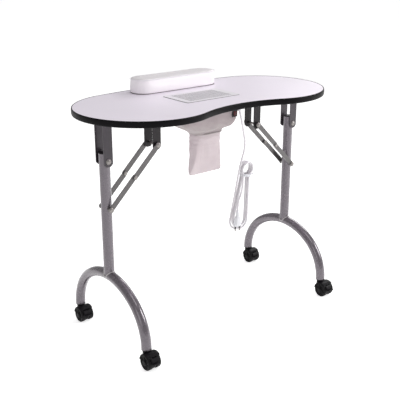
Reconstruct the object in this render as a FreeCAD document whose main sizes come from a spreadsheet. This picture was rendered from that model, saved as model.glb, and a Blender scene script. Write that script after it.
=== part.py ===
import FreeCAD, Part
import math
import os
import Sketcher

# A folding manicure table on two wheeled arch legs: a kidney-shaped top with an arm-rest
# cushion, a grille over a dust fan, a cloth dust bag and a mains lead tied in a hank.
# Millimetres. +Z is up, the floor is z = 0, +X runs along the top and the hollow front edge
# faces -Y. The origin is on the floor under the middle of the bounding box.

Vector = FreeCAD.Vector
Z_AXIS = Vector(0, 0, 1)

DIMENSIONS = {
    # Top: two round lobes joined by a gently bowed back edge and a hollow front edge.
    "table_height": 737, "board_thickness": 18, "band_thickness": 2.5,
    "lobe_radius": 212, "lobe_x": 238, "lobe_y": 8, "back_y": 236, "front_y": -154,
    # Grille set in the top.
    "grille_x": -12, "grille_y": 12, "grille_length": 213, "grille_depth": 130,
    "grille_flange": 1.5, "grille_corner": 8, "throat_length": 186, "throat_depth": 110,
    "throat_corner": 4, "grille_skirt": 6, "grille_fit": 0.2,
    "slot_length": 5.6, "slot_width": 3.4, "slot_span_x": 164, "slot_span_y": 98,
    "slot_columns": 19, "slot_rows": 15,
    # Arm-rest cushion.
    "cushion_x": -1, "cushion_y": 172, "cushion_length": 329, "cushion_depth": 86,
    "cushion_height": 51, "cushion_corner": 41, "cushion_edge": 6,
    # Fan housing: a tray, a hopper that draws in under it, and a neck above the bag.
    "housing_x": -14, "housing_y": 16, "housing_length": 240, "housing_depth": 124,
    "housing_corner": 20, "housing_wall": 2.5, "tray_bottom": 672,
    "hopper_x": 4, "hopper_z": 642, "hopper_length": 190, "hopper_depth": 105,
    "hopper_corner": 30, "neck_x": 5, "neck_length": 110, "neck_depth": 74,
    "neck_corner": 34, "neck_top": 628, "neck_bottom": 622,
    # Axial fan inside the tray.
    "fan_x": -12, "fan_size": 112, "fan_base": 672, "fan_thickness": 25, "fan_bore": 50,
    "fan_hub": 20, "blade_radius": 48, "blade_thickness": 2, "blade_count": 7,
    "blade_lean": 38, "blade_base": 9, "blade_root": 2, "strut_width": 6, "strut_height": 4,
    "strut_root": 2, "motor_inset": 4, "fan_shaft": 3, "shaft_inset": 6, "hub_gap": 2,
    # Collar and dust bag.
    "collar_top": 626, "collar_bottom": 617, "collar_thickness": 3, "collar_fit": 0.3,
    "bag_middle": 572, "bag_bottom": 480, "bag_length": 138, "bag_waist_inset": 12,
    "bag_waist_depth": 46, "bag_waist_corner": 20, "bag_bottom_depth": 8,
    "bag_bottom_corner": 3, "bag_fit": 1,
    # Rocker switch on the front of the tray.
    "switch_x": 76, "switch_z": 678, "switch_width": 19, "switch_height": 21,
    "bezel_depth": 3, "bezel_lip": 2.5, "window_inset": 2, "switch_depth": 14,
    "rocker_width": 11.5, "rocker_height": 14, "rocker_depth": 8, "rocker_round": 8,
    "rocker_gap": 0.9, "rocker_side_gap": 0.5, "rocker_proud": 1.5,
    # Legs.
    "leg_x": 380, "leg_y": 9, "pivot_z": 594, "tube_wall": 1.5, "upright_radius": 16.5,
    "upright_top": 616, "cap_height": 4, "cap_depth": 14, "cap_fit": 0.1,
    "arch_tube_radius": 16, "arch_end_z": 57, "arch_half_span": 190, "arch_rise": 170,
    "shoulder_radius": 160, "cope_start": 70, "cope_sweep": 40,
    # Sheet brackets under the top.
    "sheet_metal": 3, "bracket_half_gap": 20.5, "leg_bracket_width": 30,
    "leg_bracket_bottom": 578, "brace_bracket_x": 207, "brace_bracket_width": 29,
    "brace_bracket_bottom": 601, "bracket_corner": 8, "brace_pivot_z": 616,
    # Folding braces.
    "brace_foot_z": 446, "link_width": 16, "link_thickness": 3, "link_gap": 0.5,
    "bolt_radius": 4, "hole_clearance": 0.05, "bolt_head_radius": 7.5,
    "bolt_head_height": 4, "bolt_play": 0.3, "spacer_radius": 6.5, "spacer_play": 0.1,
    "rivet_radius": 6, "rivet_height": 2,
    # Casters.
    "caster_trail": 20, "wheel_radius": 25, "wheel_inner_x": 5.5, "wheel_outer_x": 22,
    "web_half": 4.5, "web_inset": 2, "hood_radius": 28, "hood_wall": 2.2, "hood_half": 23,
    "hood_lip": 3, "hood_back": 17, "hood_shoulder": 54.5, "axle_radius": 3, "axle_end": 1,
    "stem_radius": 5.5, "stem_top": 69, "stem_root": 8, "boss_radius": 12, "boss_base": 6,
    "wheel_gap": 0.8, "neck_root": 4, "socket_flange": 2, "socket_depth": 14,
    "socket_fit": 0.8, "pedal_half": 14, "pedal_thickness": 3, "pedal_gap": 2,
    "pedal_reach": 35, "pedal_base": 3, "pedal_height": 16, "pedal_front": 19.5,
    "tab_inset": 3, "tab_rise": 4, "pedal_pivot_y": -15.6, "pedal_pivot_z": 15.6,
    "pedal_boss": 3.5, "pedal_boss_gap": 1.2, "arm_length": 9.5, "arm_height": 5,
    "arm_slot_length": 30, "arm_slot_height": 9.4, "arm_side_gap": 1,
    # Mains lead.
    "cord_diameter": 6.5, "relief_wall": 0.8, "hank_x": 147, "hank_y": -34, "hank_top": 506,
    "hank_height": 247, "hank_top_half": 24, "hank_waist_half": 19, "hank_bottom_half": 36,
    "hank_thickness": 26, "hank_tilt": 9.5, "tie_drop": 44, "tie_height": 9,
    "tie_half_length": 22, "tie_corner": 6, "tie_margin": 1.5,
    "plug_width": 27, "plug_depth": 19, "plug_length": 35, "plug_top": 328, "plug_x": 88,
    "prong_radius": 2.4, "prong_length": 18, "prong_pitch": 19, "relief_length": 22,
    "relief_radius": 6.5, "gland_radius": 7,
}

# Free run of the lead: down from its gland, past the left of the tie and into the hank.
LEAD_ROUTE = [
    Vector(109, -34, 679),
    Vector(116, -34, 656),
    Vector(127, -34, 611),
    Vector(139, -34, 557),
    Vector(120, -34, 508),
    Vector(108, -34, 462),
    Vector(92, -34, 385),
    Vector(86, -34, 322),
]
GLAND_START = Vector(96, -34, 701)

DOC = FreeCAD.newDocument("ManicureTable")
SHEET = DOC.addObject("Spreadsheet::Sheet", "Sheet")
for row, (alias, number) in enumerate(DIMENSIONS.items(), start=1):
    SHEET.set(f"A{row}", alias)
    SHEET.set(f"B{row}", str(number))
    SHEET.setAlias(f"B{row}", alias)
DOC.recompute()

SUB_PARTS = []
SIDES = {"left": -1, "right": 1}
ENDS = {"front": -1, "rear": 1}


def size(alias):
    """Value of one spreadsheet cell."""
    return float(SHEET.get(alias))


def bound(text):
    """Expression text with every dimension name pointed at its spreadsheet cell."""
    words = []
    for word in str(text).replace("(", " ( ").replace(")", " ) ").split():
        words.append(f"Sheet.{word}" if word in DIMENSIONS else word)
    return " ".join(words)


def bind(piece, **expressions):
    for prop, text in expressions.items():
        piece.setExpression(prop, bound(text))


def place(piece, at, axis=None, degrees=0):
    """Put a piece at three expressions, turned about an axis."""
    if axis is not None:
        piece.Placement.Rotation = FreeCAD.Rotation(axis, degrees)
    for letter, text in zip("xyz", at):
        piece.setExpression(f"Placement.Base.{letter}", bound(text))
    return piece


def keep(node, piece):
    """Register a finished sub-part under its node name."""
    piece.Label = node
    SUB_PARTS.append(piece)
    return piece


# --- primitives and booleans -------------------------------------------------------------

TURNS = {"x": (Vector(0, 1, 0), 90), "y": (Vector(1, 0, 0), -90), "z": (Z_AXIS, 0)}


def cylinder(name, axis, radius, length, start):
    """Cylinder from its start point along +x, +y or +z."""
    piece = DOC.addObject("Part::Cylinder", name)
    bind(piece, Radius=radius, Height=length)
    return place(piece, start, *TURNS[axis])


def box(name, length, width, height, corner):
    piece = DOC.addObject("Part::Box", name)
    bind(piece, Length=length, Width=width, Height=height)
    return place(piece, corner)


def fuse(name, pieces):
    joined = DOC.addObject("Part::MultiFuse", name)
    joined.Shapes = pieces
    joined.Refine = True
    return joined


def cut(name, base, tools):
    piece = DOC.addObject("Part::Cut", name)
    piece.Base = base
    piece.Tool = tools[0] if len(tools) == 1 else fuse(name + "_tools", tools)
    return piece


def common(name, pieces):
    piece = DOC.addObject("Part::MultiCommon", name)
    piece.Shapes = pieces
    return piece


def plate_end(name, x, z, radius, y, thickness):
    """Round plate end about a cross bolt."""
    return cylinder(name, "y", radius, thickness, (x, y, z))


# --- sketches ----------------------------------------------------------------------------

START, END, CENTRE = 1, 2, 3
ORIGIN = (-1, 1)


def arc(x, y, radius, start, end):
    return Part.ArcOfCircle(Part.Circle(Vector(x, y, 0), Z_AXIS, radius), start, end)


def fix_centre(sketch, curve, x, y):
    """Bind an arc's or circle's centre to two expressions."""
    centre = sketch.getPoint(curve, CENTRE)
    for kind, value, text in (("DistanceX", centre.x, x), ("DistanceY", centre.y, y)):
        number = sketch.addConstraint(
            Sketcher.Constraint(kind, *ORIGIN, curve, CENTRE, value))
        sketch.setExpression(f"Constraints[{number}]", bound(text))


def fix_radius(sketch, curve, text):
    radius = sketch.Geometry[curve].Radius
    number = sketch.addConstraint(Sketcher.Constraint("Radius", curve, radius))
    sketch.setExpression(f"Constraints[{number}]", bound(text))


def value_of(text):
    """Number that an expression gives, for geometry that needs a starting value."""
    for alias in sorted(DIMENSIONS, key=len, reverse=True):
        text = text.replace(alias, f"({DIMENSIONS[alias]})")
    return FreeCAD.Units.Quantity(text).Value


def draw_rounded_rectangle(sketch, length, width, corner, x="0", y="0"):
    """Rounded rectangle about (x, y), fully bound to expressions."""
    half_x, half_y = value_of(length) / 2, value_of(width) / 2
    radius, mid_x, mid_y = value_of(corner), value_of(x), value_of(y)
    first = len(sketch.Geometry)
    turn = math.pi / 2
    corners = [(1, 1, 0), (-1, 1, turn), (-1, -1, 2 * turn), (1, -1, 3 * turn)]
    for side_x, side_y, angle in corners:
        sketch.addGeometry(arc(mid_x + side_x * (half_x - radius),
                               mid_y + side_y * (half_y - radius), radius, angle, angle + turn))
    for number in range(4):
        start = sketch.getPoint(first + number, END)
        end = sketch.getPoint(first + (number + 1) % 4, START)
        line = sketch.addGeometry(Part.LineSegment(start, end))
        kind = "Horizontal" if number % 2 == 0 else "Vertical"
        sketch.addConstraint(Sketcher.Constraint("Tangent", first + number, END, line, START))
        sketch.addConstraint(
            Sketcher.Constraint("Tangent", line, END, first + (number + 1) % 4, START))
        sketch.addConstraint(Sketcher.Constraint(kind, line))
    for number in range(1, 4):
        sketch.addConstraint(Sketcher.Constraint("Equal", first, first + number))
    fix_radius(sketch, first, corner)
    for number, sign in ((first, "+"), (first + 2, "-")):
        fix_centre(sketch, number, f"{x} {sign} ( ( {length} ) / 2 - ( {corner} ) )",
                   f"{y} {sign} ( ( {width} ) / 2 - ( {corner} ) )")


BACK_RADIUS = (" ( lobe_x * lobe_x + ( back_y - lobe_y ) * ( back_y - lobe_y ) "
               "- lobe_radius * lobe_radius ) / ( 2 * ( back_y - lobe_y - lobe_radius ) ) ")
FRONT_RADIUS = (" ( lobe_x * lobe_x + ( lobe_y - front_y ) * ( lobe_y - front_y ) "
                "- lobe_radius * lobe_radius ) / ( 2 * ( lobe_radius - lobe_y + front_y ) ) ")


def draw_kidney(sketch, inset):
    """Outline of the top, moved in by the inset: four arcs that meet in tangents."""
    offset = value_of(inset)
    lobe_x, lobe_y = size("lobe_x"), size("lobe_y")
    back_radius, front_radius = value_of(BACK_RADIUS), value_of(FRONT_RADIUS)
    back_centre = size("back_y") - back_radius
    front_centre = size("front_y") - front_radius
    back_turn = math.atan2(lobe_y - back_centre, lobe_x)
    front_turn = math.atan2(front_centre - lobe_y, -lobe_x)
    lobe = size("lobe_radius") - offset
    first = len(sketch.Geometry)
    right, back, left, front = range(first, first + 4)
    sketch.addGeometry(arc(lobe_x, lobe_y, lobe, front_turn, back_turn))
    sketch.addGeometry(arc(0, back_centre, back_radius - offset, back_turn, math.pi - back_turn))
    sketch.addGeometry(arc(-lobe_x, lobe_y, lobe, math.pi - back_turn, math.pi - front_turn))
    sketch.addGeometry(arc(0, front_centre, front_radius + offset,
                           math.pi + front_turn, -front_turn))
    for one, other in (((right, END), (back, START)), ((back, END), (left, START)),
                       ((left, END), (front, END)), ((front, START), (right, START))):
        sketch.addConstraint(Sketcher.Constraint("Tangent", *one, *other))
    for lobe_arc, sign in ((right, ""), (left, "-")):
        fix_radius(sketch, lobe_arc, f"lobe_radius - {inset}")
        fix_centre(sketch, lobe_arc, f"{sign}1 * lobe_x", "lobe_y")
    fix_radius(sketch, back, f"{BACK_RADIUS} - {inset}")
    fix_radius(sketch, front, f"{FRONT_RADIUS} + {inset}")


def draw_polygon(sketch, points):
    """Closed outline of straight lines; each point is a pair of expressions."""
    corners = [Vector(value_of(x), value_of(y), 0) for x, y in points]
    first = len(sketch.Geometry)
    count = len(points)
    for number, corner in enumerate(corners):
        sketch.addGeometry(Part.LineSegment(corner, corners[(number + 1) % count]))
    for number in range(count):
        following = first + (number + 1) % count
        sketch.addConstraint(
            Sketcher.Constraint("Coincident", first + number, END, following, START))
    for number, (x, y) in enumerate(points):
        corner = corners[number]
        for kind, value, text in (("DistanceX", corner.x, x), ("DistanceY", corner.y, y)):
            fixed = sketch.addConstraint(
                Sketcher.Constraint(kind, *ORIGIN, first + number, START, value))
            sketch.setExpression(f"Constraints[{fixed}]", bound(text))


def plane_of(body, role):
    return next(plane for plane in body.Origin.OriginFeatures if plane.Role == role)


def new_body(node):
    return DOC.addObject("PartDesign::Body", node)


def new_sketch(body, name, role="XY_Plane"):
    sketch = body.newObject("Sketcher::SketchObject", name)
    sketch.AttachmentSupport = [(plane_of(body, role), "")]
    sketch.MapMode = "FlatFace"
    return sketch


def pad(body, sketch, length, symmetric=False):
    feature = body.newObject("PartDesign::Pad", sketch.Name + "_pad")
    feature.Profile = sketch
    feature.SideType = "Symmetric" if symmetric else "One side"
    bind(feature, Length=length)
    return feature


def free_section(name, height, length, width, corner, x):
    """Horizontal rounded rectangle at a height, on the housing's middle line, for a loft."""
    sketch = DOC.addObject("Sketcher::SketchObject", name)
    draw_rounded_rectangle(sketch, length, width, corner, x, "housing_y")
    sketch.setExpression("Placement.Base.z", bound(height))
    return sketch


def loft(name, sections):
    solid = DOC.addObject("Part::Loft", name)
    solid.Sections = sections
    solid.Solid = True
    solid.Ruled = True
    return solid


# --- top ---------------------------------------------------------------------------------

def make_board():
    """Laminated board with the fan's throat cut through it."""
    body = new_body("tabletop_board")
    outline = new_sketch(body, "board_outline")
    draw_kidney(outline, "band_thickness")
    draw_rounded_rectangle(outline, "throat_length", "throat_depth", "throat_corner",
                           "grille_x", "grille_y")
    pad(body, outline, "board_thickness")
    keep("tabletop_board", place(body, ("0", "0", "table_height - board_thickness")))


def make_edge_band():
    """Strip round the whole edge of the board."""
    body = new_body("edge_band")
    outline = new_sketch(body, "band_outline")
    draw_kidney(outline, "0")
    draw_kidney(outline, "band_thickness")
    pad(body, outline, "board_thickness")
    keep("edge_band", place(body, ("0", "0", "table_height - board_thickness")))


def make_grille():
    """Slotted panel: a flange on the board and a skirt down the throat."""
    body = new_body("grille_panel")
    skirt = new_sketch(body, "grille_skirt_outline")
    draw_rounded_rectangle(skirt, "throat_length - 2 * grille_fit",
                           "throat_depth - 2 * grille_fit", "throat_corner")
    skirt.setExpression("AttachmentOffset.Base.z", bound("-1 * grille_skirt"))
    pad(body, skirt, "grille_skirt")
    flange = new_sketch(body, "grille_flange_outline")
    draw_rounded_rectangle(flange, "grille_length", "grille_depth", "grille_corner")
    pad(body, flange, "grille_flange")
    DOC.recompute()
    slot = new_sketch(body, "grille_slot")
    slot.setExpression("AttachmentOffset.Base.z", bound("grille_flange"))
    left, right = "-0.5 * slot_span_x", "slot_length - 0.5 * slot_span_x"
    low, high = "-0.5 * slot_span_y", "slot_width - 0.5 * slot_span_y"
    draw_polygon(slot, [(left, low), (right, low), (right, high), (left, high)])
    pocket = body.newObject("PartDesign::Pocket", "grille_pocket")
    pocket.Profile = slot
    pocket.Type = "ThroughAll"
    DOC.recompute()
    pattern = body.newObject("PartDesign::LinearPattern", "grille_pattern")
    pattern.Originals = [pocket]
    pattern.Direction = (slot, ["H_Axis"])
    pattern.Direction2 = (slot, ["V_Axis"])
    bind(pattern, Length="slot_span_x - slot_length", Occurrences="slot_columns",
         Length2="slot_span_y - slot_width", Occurrences2="slot_rows")
    body.Tip = pattern
    keep("grille_panel", place(body, ("grille_x", "grille_y", "table_height")))


def make_cushion():
    """Arm rest: an upholstered block with rounded ends and a soft top edge."""
    body = new_body("arm_rest_cushion")
    outline = new_sketch(body, "cushion_outline")
    draw_rounded_rectangle(outline, "cushion_length", "cushion_depth", "cushion_corner")
    block = pad(body, outline, "cushion_height")
    DOC.recompute()
    top = size("cushion_height")
    edges = [f"Edge{number}" for number, edge in enumerate(block.Shape.Edges, start=1)
             if min(vertex.Z for vertex in edge.Vertexes) > top - 0.01]
    rounding = body.newObject("PartDesign::Fillet", "cushion_rounding")
    rounding.Base = (block, edges)
    bind(rounding, Radius="cushion_edge")
    keep("arm_rest_cushion", place(body, ("cushion_x", "cushion_y", "table_height")))


# --- fan unit ----------------------------------------------------------------------------

def housing_loft(name, inset):
    """Tray, hopper and neck, moved in by the inset; the inner one runs past both ends."""
    past = "0" if inset == "0" else "1"
    levels = [
        ("table_height - board_thickness + " + past, "housing_length", "housing_depth",
         "housing_corner", "housing_x"),
        ("tray_bottom", "housing_length", "housing_depth", "housing_corner", "housing_x"),
        (f"hopper_z + {inset}", "hopper_length", "hopper_depth", "hopper_corner", "hopper_x"),
        (f"neck_top + {inset}", "neck_length", "neck_depth", "neck_corner", "neck_x"),
        ("neck_bottom - " + past, "neck_length", "neck_depth", "neck_corner", "neck_x"),
    ]
    sections = [free_section(f"{name}_{number}", height, f"{length} - 2 * {inset}",
                             f"{width} - 2 * {inset}", f"{corner} - {inset}", x)
                for number, (height, length, width, corner, x) in enumerate(levels)]
    return loft(name, sections)


def make_housing():
    """Thin-walled hopper under the board, with a window for the switch."""
    outer = housing_loft("housing_outer", "0")
    inner = housing_loft("housing_inner", "housing_wall")
    window = box("switch_window", "switch_width - 2 * window_inset", "switch_depth",
                 "switch_height - 2 * window_inset",
                 ("switch_x - switch_width / 2 + window_inset",
                  "housing_y - housing_depth / 2 - 1",
                  "switch_z - switch_height / 2 + window_inset"))
    keep("fan_housing", cut("fan_housing_shell", outer, [inner, window]))


def make_fan():
    """Square fan frame with a round duct and cross struts, and the impeller it carries."""
    base = "fan_base"
    frame = box("fan_block", "fan_size", "fan_size", "fan_thickness",
                ("fan_x - fan_size / 2", "housing_y - fan_size / 2", base))
    duct = cylinder("fan_duct", "z", "fan_bore", "fan_thickness", ("fan_x", "housing_y", base))
    ring = cut("fan_ring", frame, [duct])
    struts = [
        box("fan_strut_x", "2 * fan_bore + 2 * strut_root", "strut_width", "strut_height",
            ("fan_x - fan_bore - strut_root", "housing_y - strut_width / 2", base)),
        box("fan_strut_y", "strut_width", "2 * fan_bore + 2 * strut_root", "strut_height",
            ("fan_x - strut_width / 2", "housing_y - fan_bore - strut_root", base)),
        cylinder("fan_motor", "z", "fan_hub - motor_inset", "strut_height",
                 ("fan_x", "housing_y", base)),
        cylinder("fan_axle", "z", "fan_shaft", "fan_thickness - shaft_inset",
                 ("fan_x", "housing_y", base)),
    ]
    keep("fan_frame", fuse("fan_frame_solid", [ring, *struts]))

    lean = FreeCAD.Rotation(Vector(1, 0, 0), size("blade_lean"))
    centre = Vector(size("fan_x"), size("housing_y"), size("fan_base") + size("blade_base"))
    blades = []
    for number in range(int(size("blade_count"))):
        blade = DOC.addObject("Part::Box", f"fan_blade_{number}")
        bind(blade, Length="blade_radius - fan_hub + blade_root", Width="blade_thickness",
             Height="fan_thickness - 2 * shaft_inset")
        turn = FreeCAD.Rotation(Z_AXIS, 360 * number / size("blade_count"))
        outward = turn.multVec(Vector(size("fan_hub") - size("blade_root"), 0, 0))
        blade.Placement = FreeCAD.Placement(centre + outward, turn * lean)
        blades.append(blade)
    hub = cylinder("fan_hub_solid", "z", "fan_hub",
                   "fan_thickness - strut_height - 2 * hub_gap",
                   ("fan_x", "housing_y", base + " + strut_height + hub_gap"))
    bore = cylinder("fan_hub_bore", "z", "fan_shaft + hole_clearance", "fan_thickness",
                    ("fan_x", "housing_y", base))
    keep("fan_impeller", cut("fan_impeller_solid", fuse("fan_wheel", [hub, *blades]), [bore]))


def make_bag_and_collar():
    """Cloth pouch hung from the neck, and the collar that clamps it."""
    sections = [
        free_section("bag_0", "neck_bottom", "neck_length - bag_fit", "neck_depth - bag_fit",
                     "neck_corner - bag_fit / 2", "neck_x"),
        free_section("bag_1", "bag_middle", "bag_length - bag_waist_inset",
                     "bag_waist_depth", "bag_waist_corner", "neck_x"),
        free_section("bag_2", "bag_bottom", "bag_length", "bag_bottom_depth",
                     "bag_bottom_corner", "neck_x"),
    ]
    keep("dust_bag", loft("dust_bag_solid", sections))

    body = new_body("bag_collar")
    ring = new_sketch(body, "collar_outline")
    draw_rounded_rectangle(ring, "neck_length + 2 * collar_fit", "neck_depth + 2 * collar_fit",
                           "neck_corner + collar_fit")
    draw_rounded_rectangle(ring, "neck_length + 2 * collar_fit + 2 * collar_thickness",
                           "neck_depth + 2 * collar_fit + 2 * collar_thickness",
                           "neck_corner + collar_fit + collar_thickness")
    pad(body, ring, "collar_top - collar_bottom")
    keep("bag_collar", place(body, ("neck_x", "housing_y", "collar_bottom")))


def make_switch():
    """Rocker switch: a bezel with a body behind it, and the rocker in its window."""
    face = "housing_y - housing_depth / 2"
    bezel = box("switch_bezel", "switch_width", "bezel_depth", "switch_height",
                ("switch_x - switch_width / 2", face + " - bezel_depth",
                 "switch_z - switch_height / 2"))
    inside = box("switch_inside", "switch_width - 2 * bezel_lip", "switch_depth",
                 "switch_height - 2 * bezel_lip",
                 ("switch_x - switch_width / 2 + bezel_lip", face,
                  "switch_z - switch_height / 2 + bezel_lip"))
    well = box("switch_well", "rocker_width + 2 * rocker_side_gap",
               "rocker_depth + rocker_gap", "rocker_height + 2 * rocker_gap",
               ("switch_x - rocker_width / 2 - rocker_side_gap", face + " - bezel_depth",
                "switch_z - rocker_height / 2 - rocker_gap"))
    shell = fuse("switch_shell", [bezel, inside])
    keep("switch_body", cut("switch_body_solid", shell, [well]))

    slab = box("rocker_slab", "rocker_width", "rocker_depth", "rocker_height",
               ("switch_x - rocker_width / 2", face + " - bezel_depth - rocker_proud",
                "switch_z - rocker_height / 2"))
    rounding = cylinder("rocker_round", "x", "rocker_round", "rocker_width",
                        ("switch_x - rocker_width / 2", face, "switch_z"))
    keep("switch_rocker", common("switch_rocker_solid", [slab, rounding]))


# --- mains lead --------------------------------------------------------------------------

def lead_path(points):
    """Straight runs joined by tangent arcs, with each radius printed."""
    edges = []
    last = points[0]
    for before, corner, after in zip(points, points[1:], points[2:]):
        into, out = corner - before, after - corner
        half_turn = into.getAngle(out) / 2
        reach = 0.45 * min(into.Length, out.Length)
        radius = reach / math.tan(half_turn)
        print(f"lead bend radius {radius:.0f} mm")
        into_unit, out_unit = into.normalize(), out.normalize()
        begin = corner - into_unit * reach
        finish = corner + out_unit * reach
        inward = (out_unit - into_unit).normalize()
        middle = corner + inward * (radius / math.cos(half_turn) - radius)
        edges.append(Part.LineSegment(last, begin).toShape())
        edges.append(Part.Arc(begin, middle, finish).toShape())
        last = finish
    edges.append(Part.LineSegment(last, points[-1]).toShape())
    return Part.Wire(edges)


def make_lead():
    """Free run of the lead from the gland to the hank."""
    path = lead_path(LEAD_ROUTE)
    radius = size("cord_diameter") / 2
    section = Part.Circle(LEAD_ROUTE[0], LEAD_ROUTE[1] - LEAD_ROUTE[0], radius)
    tube = path.makePipeShell([Part.Wire(section.toShape())], True, False)
    lead = DOC.addObject("Part::Feature", "cord_lead")
    lead.Shape = tube
    expected = math.pi * radius ** 2 * path.Length
    print(f"lead length {path.Length:.0f} mm, volume {tube.Volume / expected:.4f} of expected")
    keep("cord_lead", lead)


def make_gland():
    """Tapered strain relief in the end wall of the tray."""
    gland = DOC.addObject("Part::Cone", "cord_gland")
    bind(gland, Radius1="gland_radius", Radius2="cord_diameter / 2 + relief_wall")
    direction = LEAD_ROUTE[0] - GLAND_START
    gland.Height = direction.Length
    gland.Placement = FreeCAD.Placement(GLAND_START, FreeCAD.Rotation(Z_AXIS, direction))
    keep("cord_gland", gland)


def make_hank():
    """Outer shape of the tied hank: narrow at the top, wide and round at the bottom."""
    body = new_body("cord_hank")
    outline = new_sketch(body, "hank_outline", "XZ_Plane")
    foot = "hank_bottom_half - hank_height"
    draw_polygon(outline, [
        ("-1 * hank_top_half", "0"), ("hank_top_half", "0"),
        ("hank_top_half", "-0.5 * tie_drop"), ("hank_waist_half", "-1 * tie_drop"),
        ("hank_bottom_half", foot), ("0.6 * hank_bottom_half", "-0.94 * hank_height"),
        ("0.2 * hank_bottom_half", "-1 * hank_height"),
        ("-0.2 * hank_bottom_half", "-1 * hank_height"),
        ("-0.6 * hank_bottom_half", "-0.94 * hank_height"),
        ("-1 * hank_bottom_half", foot), ("-1 * hank_waist_half", "-1 * tie_drop"),
    ])
    pad(body, outline, "hank_thickness", symmetric=True)
    place(body, ("hank_x", "hank_y", "hank_top"), Vector(0, 1, 0), size("hank_tilt"))
    keep("cord_hank", body)


def make_tie():
    """Twist tie round the waist of the hank."""
    body = new_body("cord_tie")
    outline = new_sketch(body, "tie_outline")
    for margin in ("0", "tie_margin"):
        draw_rounded_rectangle(outline, f"2 * tie_half_length + 2 * {margin}",
                               f"hank_thickness + 2 * {margin}", f"tie_corner + {margin}")
    pad(body, outline, "tie_height", symmetric=True)
    tilt = math.radians(size("hank_tilt"))
    drop = size("tie_drop")
    body.Placement = FreeCAD.Placement(
        Vector(size("hank_x") - drop * math.sin(tilt), size("hank_y"),
               size("hank_top") - drop * math.cos(tilt)),
        FreeCAD.Rotation(Vector(0, 1, 0), size("hank_tilt")))
    keep("cord_tie", body)


def make_plug():
    """Mains plug hanging in front of the hank, prongs down."""
    front = "hank_y - hank_thickness / 2"
    middle_y = f"{front} - plug_depth / 2"
    base_z = "plug_top - plug_length"
    block = box("plug_block", "plug_width", "plug_depth", "plug_length",
                ("plug_x - plug_width / 2", f"{front} - plug_depth", base_z))
    relief = DOC.addObject("Part::Cone", "plug_relief")
    bind(relief, Radius1="relief_radius", Radius2="cord_diameter / 2 + relief_wall",
         Height="relief_length")
    place(relief, ("plug_x", middle_y, "plug_top"))
    prongs = [cylinder(f"plug_prong_{sign}", "z", "prong_radius", "prong_length",
                       (f"plug_x + {sign} * prong_pitch / 2", middle_y,
                        f"{base_z} - prong_length"))
              for sign in (-1, 1)]
    keep("cord_plug", fuse("cord_plug_solid", [block, relief, *prongs]))


# --- legs --------------------------------------------------------------------------------

def make_bracket(node, x, width, bottom, pivot_z, pivot_x):
    """Inverted U of sheet metal: a web under the board and two plates with a cross hole."""
    under = "table_height - board_thickness"
    outer = "( bracket_half_gap + sheet_metal )"
    block = box(node + "_block", width, f"2 * {outer}", f"{under} - {bottom}",
                (f"{x} - {width} / 2", f"leg_y - {outer}", bottom))
    gap = box(node + "_gap", f"{width} + 2", "2 * bracket_half_gap",
              f"{under} - {bottom} - sheet_metal + 1",
              (f"{x} - {width} / 2 - 1", "leg_y - bracket_half_gap", f"{bottom} - 1"))
    hole = cylinder(node + "_hole", "y", "bolt_radius + hole_clearance", f"2 * {outer} + 2",
                    (pivot_x, f"leg_y - {outer} - 1", pivot_z))
    shell = cut(node + "_shell", block, [gap, hole])
    corners = DOC.addObject("Part::Chamfer", node + "_solid")
    corners.Base = shell
    DOC.recompute()
    low = size(bottom) + 0.01
    edges = [number for number, edge in enumerate(shell.Shape.Edges, start=1)
             if len(edge.Vertexes) == 2 and edge.BoundBox.ZMax < low
             and edge.BoundBox.YLength > 1]
    chamfer = size("bracket_corner")
    corners.Edges = [(number, chamfer, chamfer) for number in edges]
    keep(node, corners)


def make_bolt(node, x, z, half_length, spacers=()):
    """Cross bolt with a head at each end; half_length is to the heads' inner faces."""
    shaft = cylinder(node + "_shaft", "y", "bolt_radius", f"2 * ( {half_length} )",
                     (x, f"leg_y - ( {half_length} )", z))
    heads = [cylinder(node + "_head_front", "y", "bolt_head_radius", "bolt_head_height",
                      (x, f"leg_y - ( {half_length} ) - bolt_head_height", z)),
             cylinder(node + "_head_rear", "y", "bolt_head_radius", "bolt_head_height",
                      (x, f"leg_y + ( {half_length} )", z))]
    keep(node, fuse(node + "_solid", [shaft, *spacers, *heads]))


def torus_arc(name, x, centre_y, centre_z, radius, tube, start, sweep):
    """Part of a bent tube in a plane of constant x; angles from +y towards +z."""
    bend = DOC.addObject("Part::Torus", name)
    bind(bend, Radius1=radius, Radius2=tube)
    bend.Angle3 = sweep
    # The torus's own x and y axes go to the row's y and z.
    upright = FreeCAD.Rotation(Vector(1, 1, 1), 120)
    bend.Placement.Rotation = upright * FreeCAD.Rotation(Z_AXIS, start)
    return place(bend, (x, centre_y, centre_z))


CROWN_RADIUS = (" ( shoulder_radius * shoulder_radius - arch_rise * arch_rise "
                "- ( arch_half_span - shoulder_radius ) * ( arch_half_span - shoulder_radius ) ) "
                "/ ( 2 * ( shoulder_radius - arch_rise ) ) ")


def arch_bends(name, x, tube, past):
    """Three tangent bends of the arch: shoulder, crown and shoulder."""
    offset = size("arch_half_span") - size("shoulder_radius")
    crown = value_of(CROWN_RADIUS)
    crown_drop = crown - size("arch_rise")
    lean = math.degrees(math.atan2(offset, crown_drop))
    side = 90 - lean
    ends = "( arch_half_span - shoulder_radius )"
    return [
        torus_arc(f"{name}_rear", x, f"leg_y + {ends}", "arch_end_z", "shoulder_radius", tube,
                  -past, side + past),
        torus_arc(f"{name}_crown", x, "leg_y", f"arch_end_z + arch_rise - {CROWN_RADIUS}",
                  CROWN_RADIUS, tube, side, 2 * lean),
        torus_arc(f"{name}_front", x, f"leg_y - {ends}", "arch_end_z", "shoulder_radius", tube,
                  180 - side, side + past),
    ]


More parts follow.
